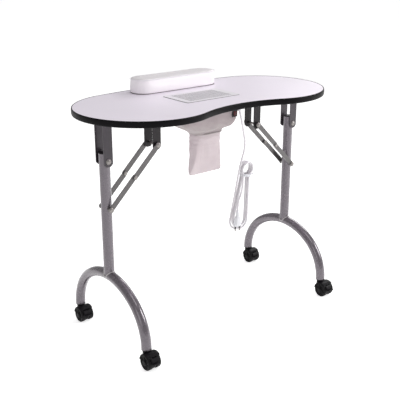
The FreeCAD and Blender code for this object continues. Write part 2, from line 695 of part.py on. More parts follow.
def make_leg_frame(side, x):
    """Upright tube coped on to the arch tube, its end cap and the lower brace bolt."""
    outer = fuse(f"{side}_arch_outer", arch_bends(f"{side}_arch_outer", x,
                                                  "arch_tube_radius", 0))
    inner = fuse(f"{side}_arch_inner", arch_bends(f"{side}_arch_inner", x,
                                                  "arch_tube_radius - tube_wall", 1))
    keep(f"{side}_arch", cut(f"{side}_arch_solid", outer, [inner]))

    apex = "arch_end_z + arch_rise"
    tube = cylinder(f"{side}_upright_outer", "z", "upright_radius",
                    f"upright_top - ( {apex} )", (x, "leg_y", apex))
    bore = cylinder(f"{side}_upright_bore", "z", "upright_radius - tube_wall",
                    f"upright_top - ( {apex} ) + 2", (x, "leg_y", f"{apex} - 1"))
    cope = torus_arc(f"{side}_upright_cope", x, "leg_y", f"{apex} - {CROWN_RADIUS}",
                     CROWN_RADIUS, "arch_tube_radius", size("cope_start"),
                     size("cope_sweep"))
    holes = [cylinder(f"{side}_upright_hole_{z}", "y", "bolt_radius + hole_clearance",
                      "2 * upright_radius + 2", (x, "leg_y - upright_radius - 1", z))
             for z in ("pivot_z", "brace_foot_z")]
    keep(f"{side}_upright", cut(f"{side}_upright_solid", tube, [bore, cope, *holes]))

    lid = cylinder(f"{side}_cap_lid", "z", "upright_radius", "cap_height",
                   (x, "leg_y", "upright_top"))
    stub = cylinder(f"{side}_cap_stub", "z", "upright_radius - tube_wall - cap_fit",
                    "cap_depth", (x, "leg_y", "upright_top - cap_depth"))
    keep(f"{side}_upright_cap", fuse(f"{side}_cap_solid", [lid, stub]))

    spacer_end = "( bracket_half_gap + sheet_metal + link_gap )"
    spacers = [cylinder(f"{side}_spacer_front", "y", "spacer_radius",
                        f"{spacer_end} - upright_radius - spacer_play",
                        (x, f"leg_y - {spacer_end} + spacer_play", "brace_foot_z")),
               cylinder(f"{side}_spacer_rear", "y", "spacer_radius",
                        f"{spacer_end} - upright_radius - spacer_play",
                        (x, "leg_y + upright_radius", "brace_foot_z"))]
    make_bolt(f"{side}_brace_foot_bolt", x, "brace_foot_z",
              f"{spacer_end} + link_thickness + bolt_play", spacers)


def make_link(node, start, end, y, rivet_y):
    """Flat bar with round ends, a pivot hole at one end and half a rivet at the knee."""
    (start_x, start_z), (end_x, end_z) = start, end
    run_x = value_of(end_x) - value_of(start_x)
    run_z = value_of(end_z) - value_of(start_z)
    bar = DOC.addObject("Part::Box", node + "_bar")
    bind(bar, Width="link_thickness", Height="link_width")
    bind(bar, Length="( ( leg_x - brace_bracket_x ) ^ 2 "
                     "+ ( brace_pivot_z - brace_foot_z ) ^ 2 ) ^ 0.5 / 2")
    angle = math.atan2(run_z, run_x)
    half_width = size("link_width") / 2
    bar.Placement = FreeCAD.Placement(
        Vector(value_of(start_x) + half_width * math.sin(angle), value_of(y),
               value_of(start_z) - half_width * math.cos(angle)),
        FreeCAD.Rotation(Vector(0, -1, 0), math.degrees(angle)))
    ends = [plate_end(f"{node}_end_{number}", x, z, "link_width / 2", y, "link_thickness")
            for number, (x, z) in enumerate((start, end))]
    rivet = cylinder(node + "_rivet", "y", "rivet_radius", "rivet_height",
                     (end_x, rivet_y, end_z))
    hole = cylinder(node + "_hole", "y", "bolt_radius + hole_clearance", "link_thickness + 2",
                    (start_x, f"{y} - 1", start_z))
    keep(node, cut(node + "_solid", fuse(node + "_blank", [bar, *ends, rivet]), [hole]))


def make_braces(side, sign):
    """Two folding braces: upper links on the bracket, lower links on the leg."""
    top = (f"{sign} * brace_bracket_x", "brace_pivot_z")
    foot = (f"{sign} * leg_x", "brace_foot_z")
    knee = (f"{sign} * ( brace_bracket_x + leg_x ) / 2", "( brace_pivot_z + brace_foot_z ) / 2")
    face = "( bracket_half_gap + sheet_metal )"
    lower = f"{face} + link_gap"
    upper = f"{face} + 2 * link_gap + link_thickness"
    make_link(f"{side}_lower_link_front", foot, knee, f"leg_y - ( {lower} ) - link_thickness",
              f"leg_y - ( {lower} )")
    make_link(f"{side}_lower_link_rear", foot, knee, f"leg_y + {lower}",
              f"leg_y + {lower} - rivet_height")
    make_link(f"{side}_upper_link_front", top, knee,
              f"leg_y - ( {upper} ) - link_thickness",
              f"leg_y - ( {upper} ) - link_thickness - rivet_height")
    make_link(f"{side}_upper_link_rear", top, knee, f"leg_y + {upper}",
              f"leg_y + {upper} + link_thickness")


# --- casters -----------------------------------------------------------------------------

def make_sockets(side, x):
    """Inserts in the two open ends of the arch that hold the caster stems."""
    pieces = []
    for end, sign in ENDS.items():
        y = f"leg_y + {sign} * arch_half_span"
        name = f"{side}_{end}_socket"
        flange = cylinder(name + "_flange", "z", "arch_tube_radius", "socket_flange",
                          (x, y, "arch_end_z - socket_flange"))
        plug = cylinder(name + "_plug", "z", "arch_tube_radius - tube_wall - socket_fit",
                        "socket_depth", (x, y, "arch_end_z"))
        bore = cylinder(name + "_bore", "z", "stem_radius + hole_clearance",
                        "socket_depth + socket_flange + 2",
                        (x, y, "arch_end_z - socket_flange - 1"))
        pieces.append(cut(name, fuse(name + "_blank", [flange, plug]), [bore]))
    keep(f"{side}_caster_sockets", fuse(f"{side}_caster_sockets_solid", pieces))


def make_caster(side, end, x, swivel_y):
    """Twin-wheel caster that trails towards -y: fork and hood, axle, wheels and brake."""
    name = f"{side}_{end}_caster"
    y = f"{swivel_y} - caster_trail"
    z = "wheel_radius"

    def along_x(label, radius, half, centre_y=y, centre_z=z):
        return cylinder(f"{name}_{label}", "x", radius, f"2 * ( {half} )",
                        (f"{x} - ( {half} )", centre_y, centre_z))

    outer = along_x("hood_outer", "hood_radius", "hood_half")
    inner = along_x("hood_inner", "hood_radius - hood_wall", "hood_half + 1")
    below = box(name + "_hood_below", "2 * hood_half + 4", "4 * hood_radius",
                "2 * hood_radius",
                (f"{x} - hood_half - 2", f"{y} - 2 * hood_radius",
                 f"{z} + hood_lip - 2 * hood_radius"))
    behind = box(name + "_hood_behind", "2 * hood_half + 4", "2 * hood_radius",
                 "2 * hood_radius",
                 (f"{x} - hood_half - 2", f"{y} - hood_back - 2 * hood_radius",
                  f"{z} - hood_radius"))
    shell = cut(name + "_hood_shell", outer, [inner, below, behind])
    web = along_x("web", "wheel_radius - web_inset", "web_half")
    boss = cylinder(name + "_boss", "z", "boss_radius",
                    f"hood_shoulder - {z} - boss_base", (x, swivel_y, f"{z} + boss_base"))
    room = along_x("boss_room", "wheel_radius + wheel_gap", "hood_half + 1")
    boss_clear = cut(name + "_boss_clear", boss, [room])
    neck = box(name + "_neck", "2 * web_half", "caster_trail + neck_root",
               "hood_radius - neck_root", (f"{x} - web_half", y, z))
    stem = cylinder(name + "_stem", "z", "stem_radius", "stem_top - hood_shoulder + stem_root",
                    (x, swivel_y, "hood_shoulder - stem_root"))
    axle_hole = along_x("axle_hole", "axle_radius", "web_half + 1")
    pedal_room = along_x("pedal_room", "pedal_boss + pedal_boss_gap", "web_half + 1",
                         f"{y} + pedal_pivot_y", f"{z} + pedal_pivot_z")
    pedal_slot = box(name + "_pedal_slot", "2 * web_half + 2", "arm_slot_length",
                     "arm_slot_height",
                     (f"{x} - web_half - 1", f"{y} + pedal_pivot_y - arm_slot_length",
                      f"{z} + pedal_pivot_z - arm_slot_height / 2"))
    frame = fuse(name + "_frame", [shell, web, boss_clear, neck, stem])
    keep(f"{name}_hood", cut(name + "_hood_solid", frame, [axle_hole, pedal_room, pedal_slot]))

    keep(f"{name}_axle", along_x("axle", "axle_radius", "wheel_outer_x + axle_end"))

    wheels = []
    for sign in (-1, 1):
        start = f"{x} + {sign} * ( wheel_inner_x + wheel_outer_x ) / 2"
        width = "( wheel_outer_x - wheel_inner_x )"
        wheels.append(cylinder(f"{name}_wheel_{sign}", "x", "wheel_radius", width,
                               (f"{start} - {width} / 2", y, z)))
    bore = along_x("wheel_bore", "axle_radius + hole_clearance", "hood_half")
    keep(f"{name}_wheels", cut(name + "_wheels_solid", fuse(name + "_wheel_pair", wheels),
                               [bore]))

    make_brake(name, x, y, z, along_x)


def make_brake(name, x, y, z, along_x):
    """Brake pedal hinged on the web behind the wheels."""
    ring = along_x("pedal_outer", "hood_radius + pedal_gap", "pedal_half")
    hollow = along_x("pedal_inner", "hood_radius + pedal_gap - pedal_thickness",
                     "pedal_half + 1")
    window = box(name + "_pedal_window", "2 * pedal_half", "hood_radius", "pedal_height",
                 (f"{x} - pedal_half", f"{y} - pedal_front - hood_radius",
                  f"{z} + pedal_base"))
    plate = common(name + "_pedal_plate", [cut(name + "_pedal_ring", ring, [hollow]), window])
    tab = box(name + "_pedal_tab", "2 * pedal_half - 2 * tab_inset",
              "pedal_reach - hood_radius + 1", "pedal_thickness",
              (f"{x} - pedal_half + tab_inset", f"{y} - pedal_reach", f"{z} + tab_rise"))
    boss = along_x("pedal_boss", "pedal_boss", "web_half - arm_side_gap",
                   f"{y} + pedal_pivot_y", f"{z} + pedal_pivot_z")
    arm = box(name + "_pedal_arm", "2 * web_half - 2 * arm_side_gap", "arm_length",
              "arm_height",
              (f"{x} - web_half + arm_side_gap", f"{y} + pedal_pivot_y - arm_length",
               f"{z} + pedal_pivot_z - arm_height / 2"))
    keep(f"{name}_brake", fuse(name + "_brake_solid", [plate, tab, boss, arm]))


def make_side(side, sign):
    """Everything at one end of the table."""
    x = f"{sign} * leg_x"
    brace_x = f"{sign} * brace_bracket_x"
    make_bracket(f"{side}_leg_bracket", x, "leg_bracket_width", "leg_bracket_bottom",
                 "pivot_z", x)
    make_bracket(f"{side}_brace_bracket", brace_x, "brace_bracket_width",
                 "brace_bracket_bottom", "brace_pivot_z", brace_x)
    plate_face = "bracket_half_gap + sheet_metal"
    make_bolt(f"{side}_leg_bolt", x, "pivot_z", plate_face)
    spacer = "( 2 * link_gap + link_thickness - spacer_play )"
    spacers = [cylinder(f"{side}_brace_spacer_front", "y", "spacer_radius", spacer,
                        (brace_x, f"leg_y - ( {plate_face} ) - {spacer}", "brace_pivot_z")),
               cylinder(f"{side}_brace_spacer_rear", "y", "spacer_radius", spacer,
                        (brace_x, f"leg_y + {plate_face}", "brace_pivot_z"))]
    make_bolt(f"{side}_brace_bolt", brace_x, "brace_pivot_z",
              f"{plate_face} + 2 * link_gap + 2 * link_thickness + bolt_play", spacers)
    make_leg_frame(side, x)
    make_braces(side, sign)
    make_sockets(side, x)
    for end, end_sign in ENDS.items():
        make_caster(side, end, x, f"leg_y + {end_sign} * arch_half_span")


def check_model():
    """Stop if any object failed or any sub-part has no valid solid."""
    for piece in DOC.Objects:
        if "Invalid" in piece.State or "Error" in piece.State:
            raise RuntimeError(f"{piece.Name} failed: {piece.State}")
    for piece in SUB_PARTS:
        if piece.Shape.isNull() or not piece.Shape.isValid() or not piece.Shape.Solids:
            raise RuntimeError(f"{piece.Label} has no valid solid")


def write_parts():
    os.makedirs("parts", exist_ok=True)
    for piece in SUB_PARTS:
        piece.Shape.exportStep(f"parts/{piece.Label}.step")
        limits = piece.Shape.BoundBox
        print(f"{piece.Label}: {len(piece.Shape.Solids)} solid, "
              f"{piece.Shape.Volume / 1000:.1f} cm3, x {limits.XMin:.1f} {limits.XMax:.1f}, "
              f"y {limits.YMin:.1f} {limits.YMax:.1f}, z {limits.ZMin:.1f} {limits.ZMax:.1f}")
    print(f"{len(SUB_PARTS)} sub-parts")


make_board()
make_edge_band()
make_grille()
make_cushion()
make_housing()
make_fan()
make_bag_and_collar()
make_switch()
make_gland()
make_lead()
make_hank()
make_tie()
make_plug()
for side_name, side_sign in SIDES.items():
    make_side(side_name, side_sign)
DOC.recompute()
check_model()
write_parts()
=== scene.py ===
import math
from random import Random

import bmesh
import bpy
from mathutils import Matrix, Quaternion, Vector, noise


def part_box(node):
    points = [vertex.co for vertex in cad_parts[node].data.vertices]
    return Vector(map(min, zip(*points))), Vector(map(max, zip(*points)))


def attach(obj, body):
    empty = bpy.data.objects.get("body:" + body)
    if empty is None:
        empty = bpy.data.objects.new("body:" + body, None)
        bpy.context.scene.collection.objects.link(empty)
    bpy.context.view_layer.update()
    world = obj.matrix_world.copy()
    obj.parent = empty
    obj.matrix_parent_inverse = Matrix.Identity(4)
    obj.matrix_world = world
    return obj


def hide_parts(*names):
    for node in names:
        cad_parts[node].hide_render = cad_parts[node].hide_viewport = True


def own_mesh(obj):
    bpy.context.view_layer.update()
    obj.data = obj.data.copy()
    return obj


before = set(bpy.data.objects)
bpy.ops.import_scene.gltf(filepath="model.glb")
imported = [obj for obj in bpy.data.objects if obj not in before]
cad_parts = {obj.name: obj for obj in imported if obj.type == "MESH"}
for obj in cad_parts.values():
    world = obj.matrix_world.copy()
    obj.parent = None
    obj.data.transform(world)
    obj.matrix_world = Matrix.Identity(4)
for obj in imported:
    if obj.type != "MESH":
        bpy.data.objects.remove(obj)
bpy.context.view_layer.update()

# Looks of the folding manicure table. Metres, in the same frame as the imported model:
# the floor is z = 0, +X runs along the top and the hollow front edge faces -Y.

SCENE = bpy.context.scene
SIDES = ("left", "right")
ENDS = ("front", "rear")
SIGNS = (-1, 1)
UP = Vector((0, 0, 1))


def middle(node):
    """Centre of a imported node's box."""
    low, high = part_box(node)
    return (low + high) / 2


def half_size(node):
    """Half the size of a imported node's box."""
    low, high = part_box(node)
    return (high - low) / 2


def plan(node):
    """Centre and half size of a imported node's box, seen from above."""
    low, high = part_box(node)
    return (((low.x + high.x) / 2, (low.y + high.y) / 2),
            ((high.x - low.x) / 2, (high.y - low.y) / 2))


LEG_Y = middle("left_upright").y
UNDERSIDE_Z, TOP_Z = (corner.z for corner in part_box("tabletop_board"))


def add(name, data):
    """New object in the scene."""
    made = bpy.data.objects.new(name, data)
    SCENE.collection.objects.link(made)
    return made


def set_sockets(node, values):
    """Give a shader node's inputs their constant values."""
    for socket, value in values.items():
        node.inputs[socket].default_value = value


def circle_steps(count, start=0.0):
    """Cosine and sine of evenly spaced angles round a circle."""
    angles = (start + math.tau * step / count for step in range(count))
    return [(math.cos(angle), math.sin(angle)) for angle in angles]


# --- camera, floor and light ---

def make_camera():
    """Long lens from the front left, a little above the top."""
    yaw, pitch, roll = (math.radians(angle) for angle in (39.22, 19.43, 0.05))
    place = Vector((-1.4549, -1.7483, 1.1914))
    data = bpy.data.cameras.new("camera")
    data.lens = 65.71
    data.sensor_width = 36
    data.clip_end = 60
    camera = add("camera", data)
    look = Vector((math.sin(yaw) * math.cos(pitch), math.cos(yaw) * math.cos(pitch), -math.sin(pitch)))
    turn = look.to_track_quat("-Z", "Y") @ Quaternion(UP, roll)
    camera.matrix_world = Matrix.LocRotScale(place, turn, None)
    SCENE.camera = camera


def make_area_light(name, place, size, watts):
    """Soft box that looks at the middle of the table."""
    place = Vector(place)
    data = bpy.data.lights.new(name, "AREA")
    data.shape = "RECTANGLE"
    data.size, data.size_y = size
    data.energy = watts
    aim = Vector((0, 0, 0.5)) - place
    add(name, data).matrix_world = Matrix.LocRotScale(place, aim.to_track_quat("-Z", "Y"), None)


def make_studio():
    """Bright white room: even world light, a pale floor and four soft boxes."""
    world = bpy.data.worlds.new("studio")
    world.use_nodes = True
    tree = world.node_tree
    background = tree.nodes["Background"]
    set_sockets(background, {"Color": (1, 1, 1, 1)})
    # The room looks white beyond the floor's edge, and lights the table at half of that.
    ray = tree.nodes.new("ShaderNodeLightPath")
    strength = tree.nodes.new("ShaderNodeMapRange")
    set_sockets(strength, {"To Min": 0.46, "To Max": 1.0})
    tree.links.new(ray.outputs["Is Camera Ray"], strength.inputs["Value"])
    tree.links.new(strength.outputs["Result"], background.inputs["Strength"])
    SCENE.world = world
    SCENE.view_settings.view_transform = "Standard"
    make_area_light("key_box", (2.4, -2.2, 1.9), (1.3, 1.5), 62)
    make_area_light("fill_box", (-2.8, -1.8, 1.4), (1.6, 1.6), 11)
    make_area_light("top_box", (2.4, 0.9, 2.3), (1.8, 1.4), 33)
    make_area_light("front_box", (-0.1, -1.1, 3.0), (0.8, 1.3), 10)

    floor_mesh = bpy.data.meshes.new("floor")
    reach = 30
    floor_mesh.from_pydata([(-reach, -reach, 0), (reach, -reach, 0), (reach, reach, 0),
                            (-reach, reach, 0)], [], [(0, 1, 2, 3)])
    paper = bpy.data.materials.new("floor_paper")
    paper.use_nodes = True
    set_sockets(paper.node_tree.nodes["Principled BSDF"], {
        "Base Color": (0.88, 0.88, 0.88, 1), "Roughness": 0.9, "Specular IOR Level": 0.1,
        "Emission Color": (1, 1, 1, 1), "Emission Strength": 0.6})
    floor_mesh.materials.append(paper)
    add("floor", floor_mesh)


# --- materials ---

def linear(red, green, blue):
    """Display colour, 0 to 255, as linear light."""
    steps = (value / 255 for value in (red, green, blue))
    return [step / 12.92 if step <= 0.04045 else ((step + 0.055) / 1.055) ** 2.4
            for step in steps] + [1.0]


MATERIALS = {}


class Finish:
    """A material built up from layers of procedural detail in object space."""

    def __init__(self, name, colour, roughness, metallic=0.0, coat=0.0, sheen=0.0, specular=0.5):
        material = MATERIALS[name] = bpy.data.materials.new(name)
        material.use_nodes = True
        self.tree = material.node_tree
        self.shader = self.tree.nodes["Principled BSDF"]
        self.colour = linear(*colour)
        set_sockets(self.shader, {
            "Base Color": self.colour, "Roughness": roughness, "Metallic": metallic,
            "Coat Weight": coat, "Coat Roughness": 0.09, "Sheen Weight": sheen,
            "Specular IOR Level": specular})
        self.place = self.tree.nodes.new("ShaderNodeTexCoord").outputs["Object"]
        self.last_bump = None

    def node(self, kind, sockets, source=None, into=None, **settings):
        """New node with its socket values and settings, and a source linked into one socket."""
        made = self.tree.nodes.new(kind)
        for key, value in settings.items():
            setattr(made, key, value)
        set_sockets(made, sockets)
        if source is not None:
            self.tree.links.new(source, made.inputs[into])
        return made

    def noise(self, scale, detail=3.0, stretch=(1, 1, 1)):
        mapping = self.node("ShaderNodeMapping", {"Scale": stretch}, self.place, "Vector")
        texture = self.node("ShaderNodeTexNoise", {"Scale": scale, "Detail": detail},
                            mapping.outputs["Vector"], "Vector")
        return texture.outputs["Fac"]

    def cells(self, scale, smoothness=0.6):
        texture = self.node("ShaderNodeTexVoronoi", {"Scale": scale, "Smoothness": smoothness},
                            self.place, "Vector", feature="SMOOTH_F1")
        return texture.outputs["Distance"]

    def facing_up(self):
        """Pattern that is 1 on faces that look up and 0 or less on upright ones."""
        geometry = self.node("ShaderNodeNewGeometry", {})
        split = self.node("ShaderNodeSeparateXYZ", {}, geometry.outputs["Normal"], "Vector")
        return split.outputs["Z"]

    def threads(self, pitch):
        """Plain weave: two sets of ridges that cross."""
        both = self.node("ShaderNodeMath", {}, operation="MAXIMUM")
        for socket, direction in zip(both.inputs, ("DIAGONAL", "Z")):
            wave = self.node("ShaderNodeTexWave", {
                "Scale": math.pi / (10 * pitch), "Distortion": 0.6, "Detail": 1.0},
                self.place, "Vector", wave_type="BANDS", bands_direction=direction)
            self.tree.links.new(wave.outputs["Fac"], socket)
        return both.outputs["Value"]

    def spread(self, source, low, high):
        """Map the middle of a 0 to 1 pattern to a range."""
        ranged = self.node("ShaderNodeMapRange", {
            "From Min": 0.3, "From Max": 0.7, "To Min": low, "To Max": high}, source, "Value")
        return ranged.outputs["Result"]

    def mottle(self, source, colour, amount):
        """Blend the base colour towards another by a pattern."""
        mix = self.node("ShaderNodeMix", {}, self.spread(source, 0.0, amount), "Factor",
                        data_type="RGBA")
        first, second = (socket for socket in mix.inputs if socket.type == "RGBA")
        previous = self.shader.inputs["Base Color"].links
        if previous:
            self.tree.links.new(previous[0].from_socket, first)
        else:
            first.default_value = self.colour
        second.default_value = linear(*colour)
        result = next(socket for socket in mix.outputs if socket.type == "RGBA")
        self.tree.links.new(result, self.shader.inputs["Base Color"])

    def vary_gloss(self, source, low, high):
        self.tree.links.new(self.spread(source, low, high), self.shader.inputs["Roughness"])

    def bump(self, source, height, strength=0.5):
        """Raise the surface by a pattern; height in metres."""
        bump = self.node("ShaderNodeBump", {"Strength": strength, "Distance": height}, source, "Height")
        if self.last_bump is not None:
            self.tree.links.new(self.last_bump, bump.inputs["Normal"])
        self.last_bump = bump.outputs["Normal"]
        self.tree.links.new(self.last_bump, self.shader.inputs["Normal"])


def paint(name, colour, shade, roughness, coat=0.6):
    """Powder-coated steel: orange peel, faint mottling and uneven gloss."""
    finish = Finish(name, colour, roughness, metallic=0.45, coat=coat)
    finish.mottle(finish.noise(38, 4), shade, 0.25)
    finish.vary_gloss(finish.noise(60, 2), roughness - 0.03, roughness + 0.05)
    finish.bump(finish.noise(900, 2), 0.00008, 0.2)


def moulded(name, colour, shade, roughness, grain=0.00008, coat=0.0, specular=0.5):
    """Moulded plastic with a fine spark-eroded grain and slight flow marks."""
    finish = Finish(name, colour, roughness, coat=coat, specular=specular)
    finish.mottle(finish.noise(22, 3), shade, 0.45)
    finish.vary_gloss(finish.noise(60, 3), roughness - 0.05, roughness + 0.07)
    finish.bump(finish.noise(1900, 2), grain, 0.4)


def laminate():
    """Satin laminate with faint clouds."""
    finish = Finish("laminate", (241, 232, 244), 0.34, coat=0.12)
    finish.mottle(finish.noise(3.2, 2), (233, 223, 238), 0.5)
    finish.mottle(finish.noise(420, 2), (238, 236, 241), 0.3)
    finish.vary_gloss(finish.noise(9, 3), 0.3, 0.4)
    finish.bump(finish.noise(1500, 2), 0.00005, 0.3)


def slotted():
    """Moulded grille: pale where it faces up, with painted shade down the walls of its slots and its
    rim.
    """
    # The dark base colour is painted shade on the upright walls; faces that look up blend to the pale
    # plastic.
    finish = Finish("grille", (112, 108, 113), 0.42)
    finish.mottle(finish.facing_up(), (229, 225, 231), 1.0)
    finish.mottle(finish.noise(22, 3), (216, 211, 218), 0.3)
    finish.vary_gloss(finish.noise(60, 3), 0.37, 0.49)
    finish.bump(finish.noise(1900, 2), 0.00008, 0.4)


def vinyl():
    """Smooth upholstery vinyl with a pebbled leather grain and painted shade on its top."""
    finish = Finish("vinyl", (247, 242, 246), 0.42, coat=0.08, sheen=0.05)
    finish.mottle(finish.noise(11, 3), (240, 235, 239), 0.5)
    # Painted shade: faces that look up, the cushion's top, are blended darker than the sides.
    finish.mottle(finish.facing_up(), (222, 217, 220), 0.9)
    finish.vary_gloss(finish.noise(30, 3), 0.36, 0.5)
    finish.bump(finish.cells(620), 0.00022, 0.4)
    finish.bump(finish.noise(240, 4), 0.00012, 0.3)


def cloth(name, colour, shade, pitch):
    """Plain woven cloth with shallow creases."""
    finish = Finish(name, colour, 0.82, sheen=0.25, specular=0.25)
    finish.mottle(finish.noise(17, 4), shade, 0.6)
    finish.mottle(finish.threads(pitch), shade, 0.35)
    finish.bump(finish.threads(pitch), 0.00025, 0.6)
    finish.bump(finish.noise(60, 3), 0.0008, 0.25)


def zinc():
    """Zinc-plated steel with fine drawn lines."""
    finish = Finish("zinc", (150, 146, 144), 0.36, metallic=0.9)
    finish.mottle(finish.noise(160, 4), (104, 99, 96), 0.6)
    finish.vary_gloss(finish.noise(300, 3), 0.24, 0.44)
    finish.bump(finish.noise(1200, 2, (1, 6, 1)), 0.00006, 0.4)


def sheath():
    """Soft plastic of the lead, slightly uneven."""
    finish = Finish("sheath", (214, 211, 214), 0.4, coat=0.1)
    finish.mottle(finish.noise(45, 3), (198, 194, 199), 0.6)
    finish.vary_gloss(finish.noise(80, 2), 0.34, 0.48)
    finish.bump(finish.noise(800, 2), 0.0001, 0.35)


laminate()
moulded("edging", (9, 8, 10), (17, 15, 18), 0.4, 0.00006, specular=0.08)
slotted()
cloth("filter", (54, 51, 55), (36, 34, 37), 0.0011)
vinyl()
moulded("piping", (240, 237, 241), (226, 222, 228), 0.45, 0.00012)
# The housing cloth is partly its own grey and partly painted shade, darker than the bag because the
# hopper sits in the top's shadow.
cloth("housing", (170, 160, 160), (140, 130, 131), 0.0011)
cloth("bag", (206, 195, 197), (184, 171, 175), 0.0009)
# Dark line colour: the real on and off marks of the rocker, and painted shadow lines at the cushion's
# foot and in the collar's groove.
cloth("marks_and_painted_shadow", (112, 104, 106), (90, 83, 85), 0.0008)
moulded("thread", (224, 213, 217), (208, 196, 200), 0.7, 0.0002)
moulded("fan", (22, 21, 23), (34, 33, 35), 0.5, specular=0.2)
moulded("switch", (18, 16, 18), (28, 26, 28), 0.3, specular=0.3)
moulded("rocker", (66, 13, 15), (84, 20, 20), 0.32, coat=0.1, specular=0.2)
sheath()
moulded("tie", (205, 205, 209), (186, 186, 191), 0.5)
moulded("plug", (216, 216, 220), (200, 200, 205), 0.36, coat=0.15)
paint("leg", (102, 95, 102), (88, 82, 89), 0.26, 0.8)
paint("link", (88, 85, 85), (70, 67, 68), 0.34, 0.4)
paint("bracket", (54, 48, 54), (40, 35, 40), 0.4, 0.3)
paint("dark_bracket", (30, 25, 28), (20, 17, 19), 0.5, 0.08)
# The weld bead is painted pale with darker mottling, a painted highlight for the glints on the bead.
paint("weld", (176, 172, 173), (110, 106, 108), 0.3)
zinc()
moulded("cap", (18, 17, 19), (30, 28, 31), 0.46, specular=0.2)
moulded("caster", (13, 11, 15), (22, 19, 24), 0.4, 0.00006, specular=0.14)
moulded("wheel", (9, 8, 10), (18, 16, 19), 0.46, 0.0001, specular=0.15)


# --- mesh building ---

def finish_mesh(name, build, material, smooth=True):
    """New piece from a bmesh, which is freed."""
    data = bpy.data.meshes.new(name)
    build.to_mesh(data)
    build.free()
    for face in data.polygons:
        face.use_smooth = smooth
    data.materials.append(MATERIALS[material])
    return add(name, data)


def make_mesh(name, corners, faces, material, smooth=True):
    """New piece from corners and faces, with outward normals."""
    draft = bpy.data.meshes.new("draft")
    draft.from_pydata([tuple(corner) for corner in corners], [], faces)
    build = bmesh.new()
    build.from_mesh(draft)
    bpy.data.meshes.remove(draft)
    bmesh.ops.recalc_face_normals(build, faces=build.faces)
    return finish_mesh(name, build, material, smooth)


def ring_faces(rings, count, looped=False):
    """Quads between rings of count corners; looped joins the last ring to the first."""
    faces = []
    for ring in range(rings if looped else rings - 1):
        low, high = ring * count, (ring + 1) % rings * count
        for step in range(count):
            following = (step + 1) % count
            faces.append((low + step, low + following, high + following, high + step))
    return faces


def sheet_faces(rows, columns):
    """Quads of an open sheet, which has one more line of corners than cells each way."""
    starts = (row * (columns + 1) + column for row in range(rows) for column in range(columns))
    return [(start, start + 1, start + columns + 2, start + columns + 1) for start in starts]


def end_faces(total, count):
    """Faces that close the first and the last ring."""
    return [tuple(range(count)), tuple(range(total - count, total))]


def join(name, pieces):
    """One object from several that have one material each."""
    build = bmesh.new()
    materials = []
    for piece in pieces:
        material = piece.data.materials[0]
        if material not in materials:
            materials.append(material)
        for face in piece.data.polygons:
            face.material_index = materials.index(material)
        build.from_mesh(piece.data)
        bpy.data.objects.remove(piece)
    data = bpy.data.meshes.new(name)
    build.to_mesh(data)
    build.free()
    for material in materials:
        data.materials.append(material)
    return add(name, data)


def round_edges(piece, width, segments=2):
    """Bevel modifier on the sharp edges."""
    bevel = piece.modifiers.new("round_edges", "BEVEL")
    bevel.width = width
    bevel.segments = segments
    bevel.limit_method = "ANGLE"
    bevel.angle_limit = math.radians(35)
    bevel.harden_normals = False


def axes_of(direction):
    """Two unit vectors across a direction."""
    along = Vector(direction).normalized()
    side = UP if abs(along.z) < 0.9 else Vector((1, 0, 0))
    across = along.cross(side).normalized()
    return across, along.cross(across).normalized()


def lathe(name, profile, centre, direction, material, turns=48, smooth=True):
    """Turned shape: profile is (radius, distance along the direction) from end to end."""
    along = Vector(direction).normalized()
    across, up = axes_of(along)
    corners, faces, rings = [], [], []
    for radius, height in profile:
        steps = circle_steps(turns) if radius > 0 else [(1, 0)]
        rings.append(range(len(corners), len(corners) + len(steps)))
        corners.extend(Vector(centre) + along * height + (across * cosine + up * sine) * radius
                       for cosine, sine in steps)
    for low, high in zip(rings, rings[1:]):
        for step in range(turns):
            following = (step + 1) % turns
            face = [low[step % len(low)], low[following % len(low)],
                    high[following % len(high)], high[step % len(high)]]
            faces.append(list(dict.fromkeys(face)))
    faces.extend(list(ring) for ring in (rings[0], rings[-1]) if len(ring) > 1)
    return make_mesh(name, corners, faces, material, smooth)


def rounded_outline(centre, half, corner, count):
    """Evenly spaced points round a rounded rectangle, from the middle of its +x side."""
    corner = min(corner, half[0] - 1e-5, half[1] - 1e-5)
    straight_x, straight_y = half[0] - corner, half[1] - corner
    quarter = math.pi * corner / 2
    total = 4 * (straight_x + straight_y + quarter)
    points = []
    for step in range(count):
        run = total * step / count
        quadrant, rest = divmod(run, total / 4)
        if quadrant in (1, 3):
            rest = total / 4 - rest
        if rest < straight_y:
            x, y = half[0], rest
        elif rest < straight_y + quarter:
            angle = (rest - straight_y) / corner
            x = straight_x + corner * math.cos(angle)
            y = straight_y + corner * math.sin(angle)
        else:
            x, y = straight_x - (rest - straight_y - quarter), half[1]
        x *= 1 if quadrant in (0, 3) else -1
        y *= 1 if quadrant in (0, 1) else -1
        points.append((centre[0] + x, centre[1] + y))
    return points


def stack(name, rings, count, material, closed=True):
    """Skin over level rings: each is (z, (centre x, y), (half x, half y), corner)."""
    corners = [(x, y, level) for level, centre, half, corner in rings
               for x, y in rounded_outline(centre, half, corner, count)]
    faces = ring_faces(len(rings), count)
    if closed:
        faces += end_faces(len(corners), count)
    return make_mesh(name, corners, faces, material)


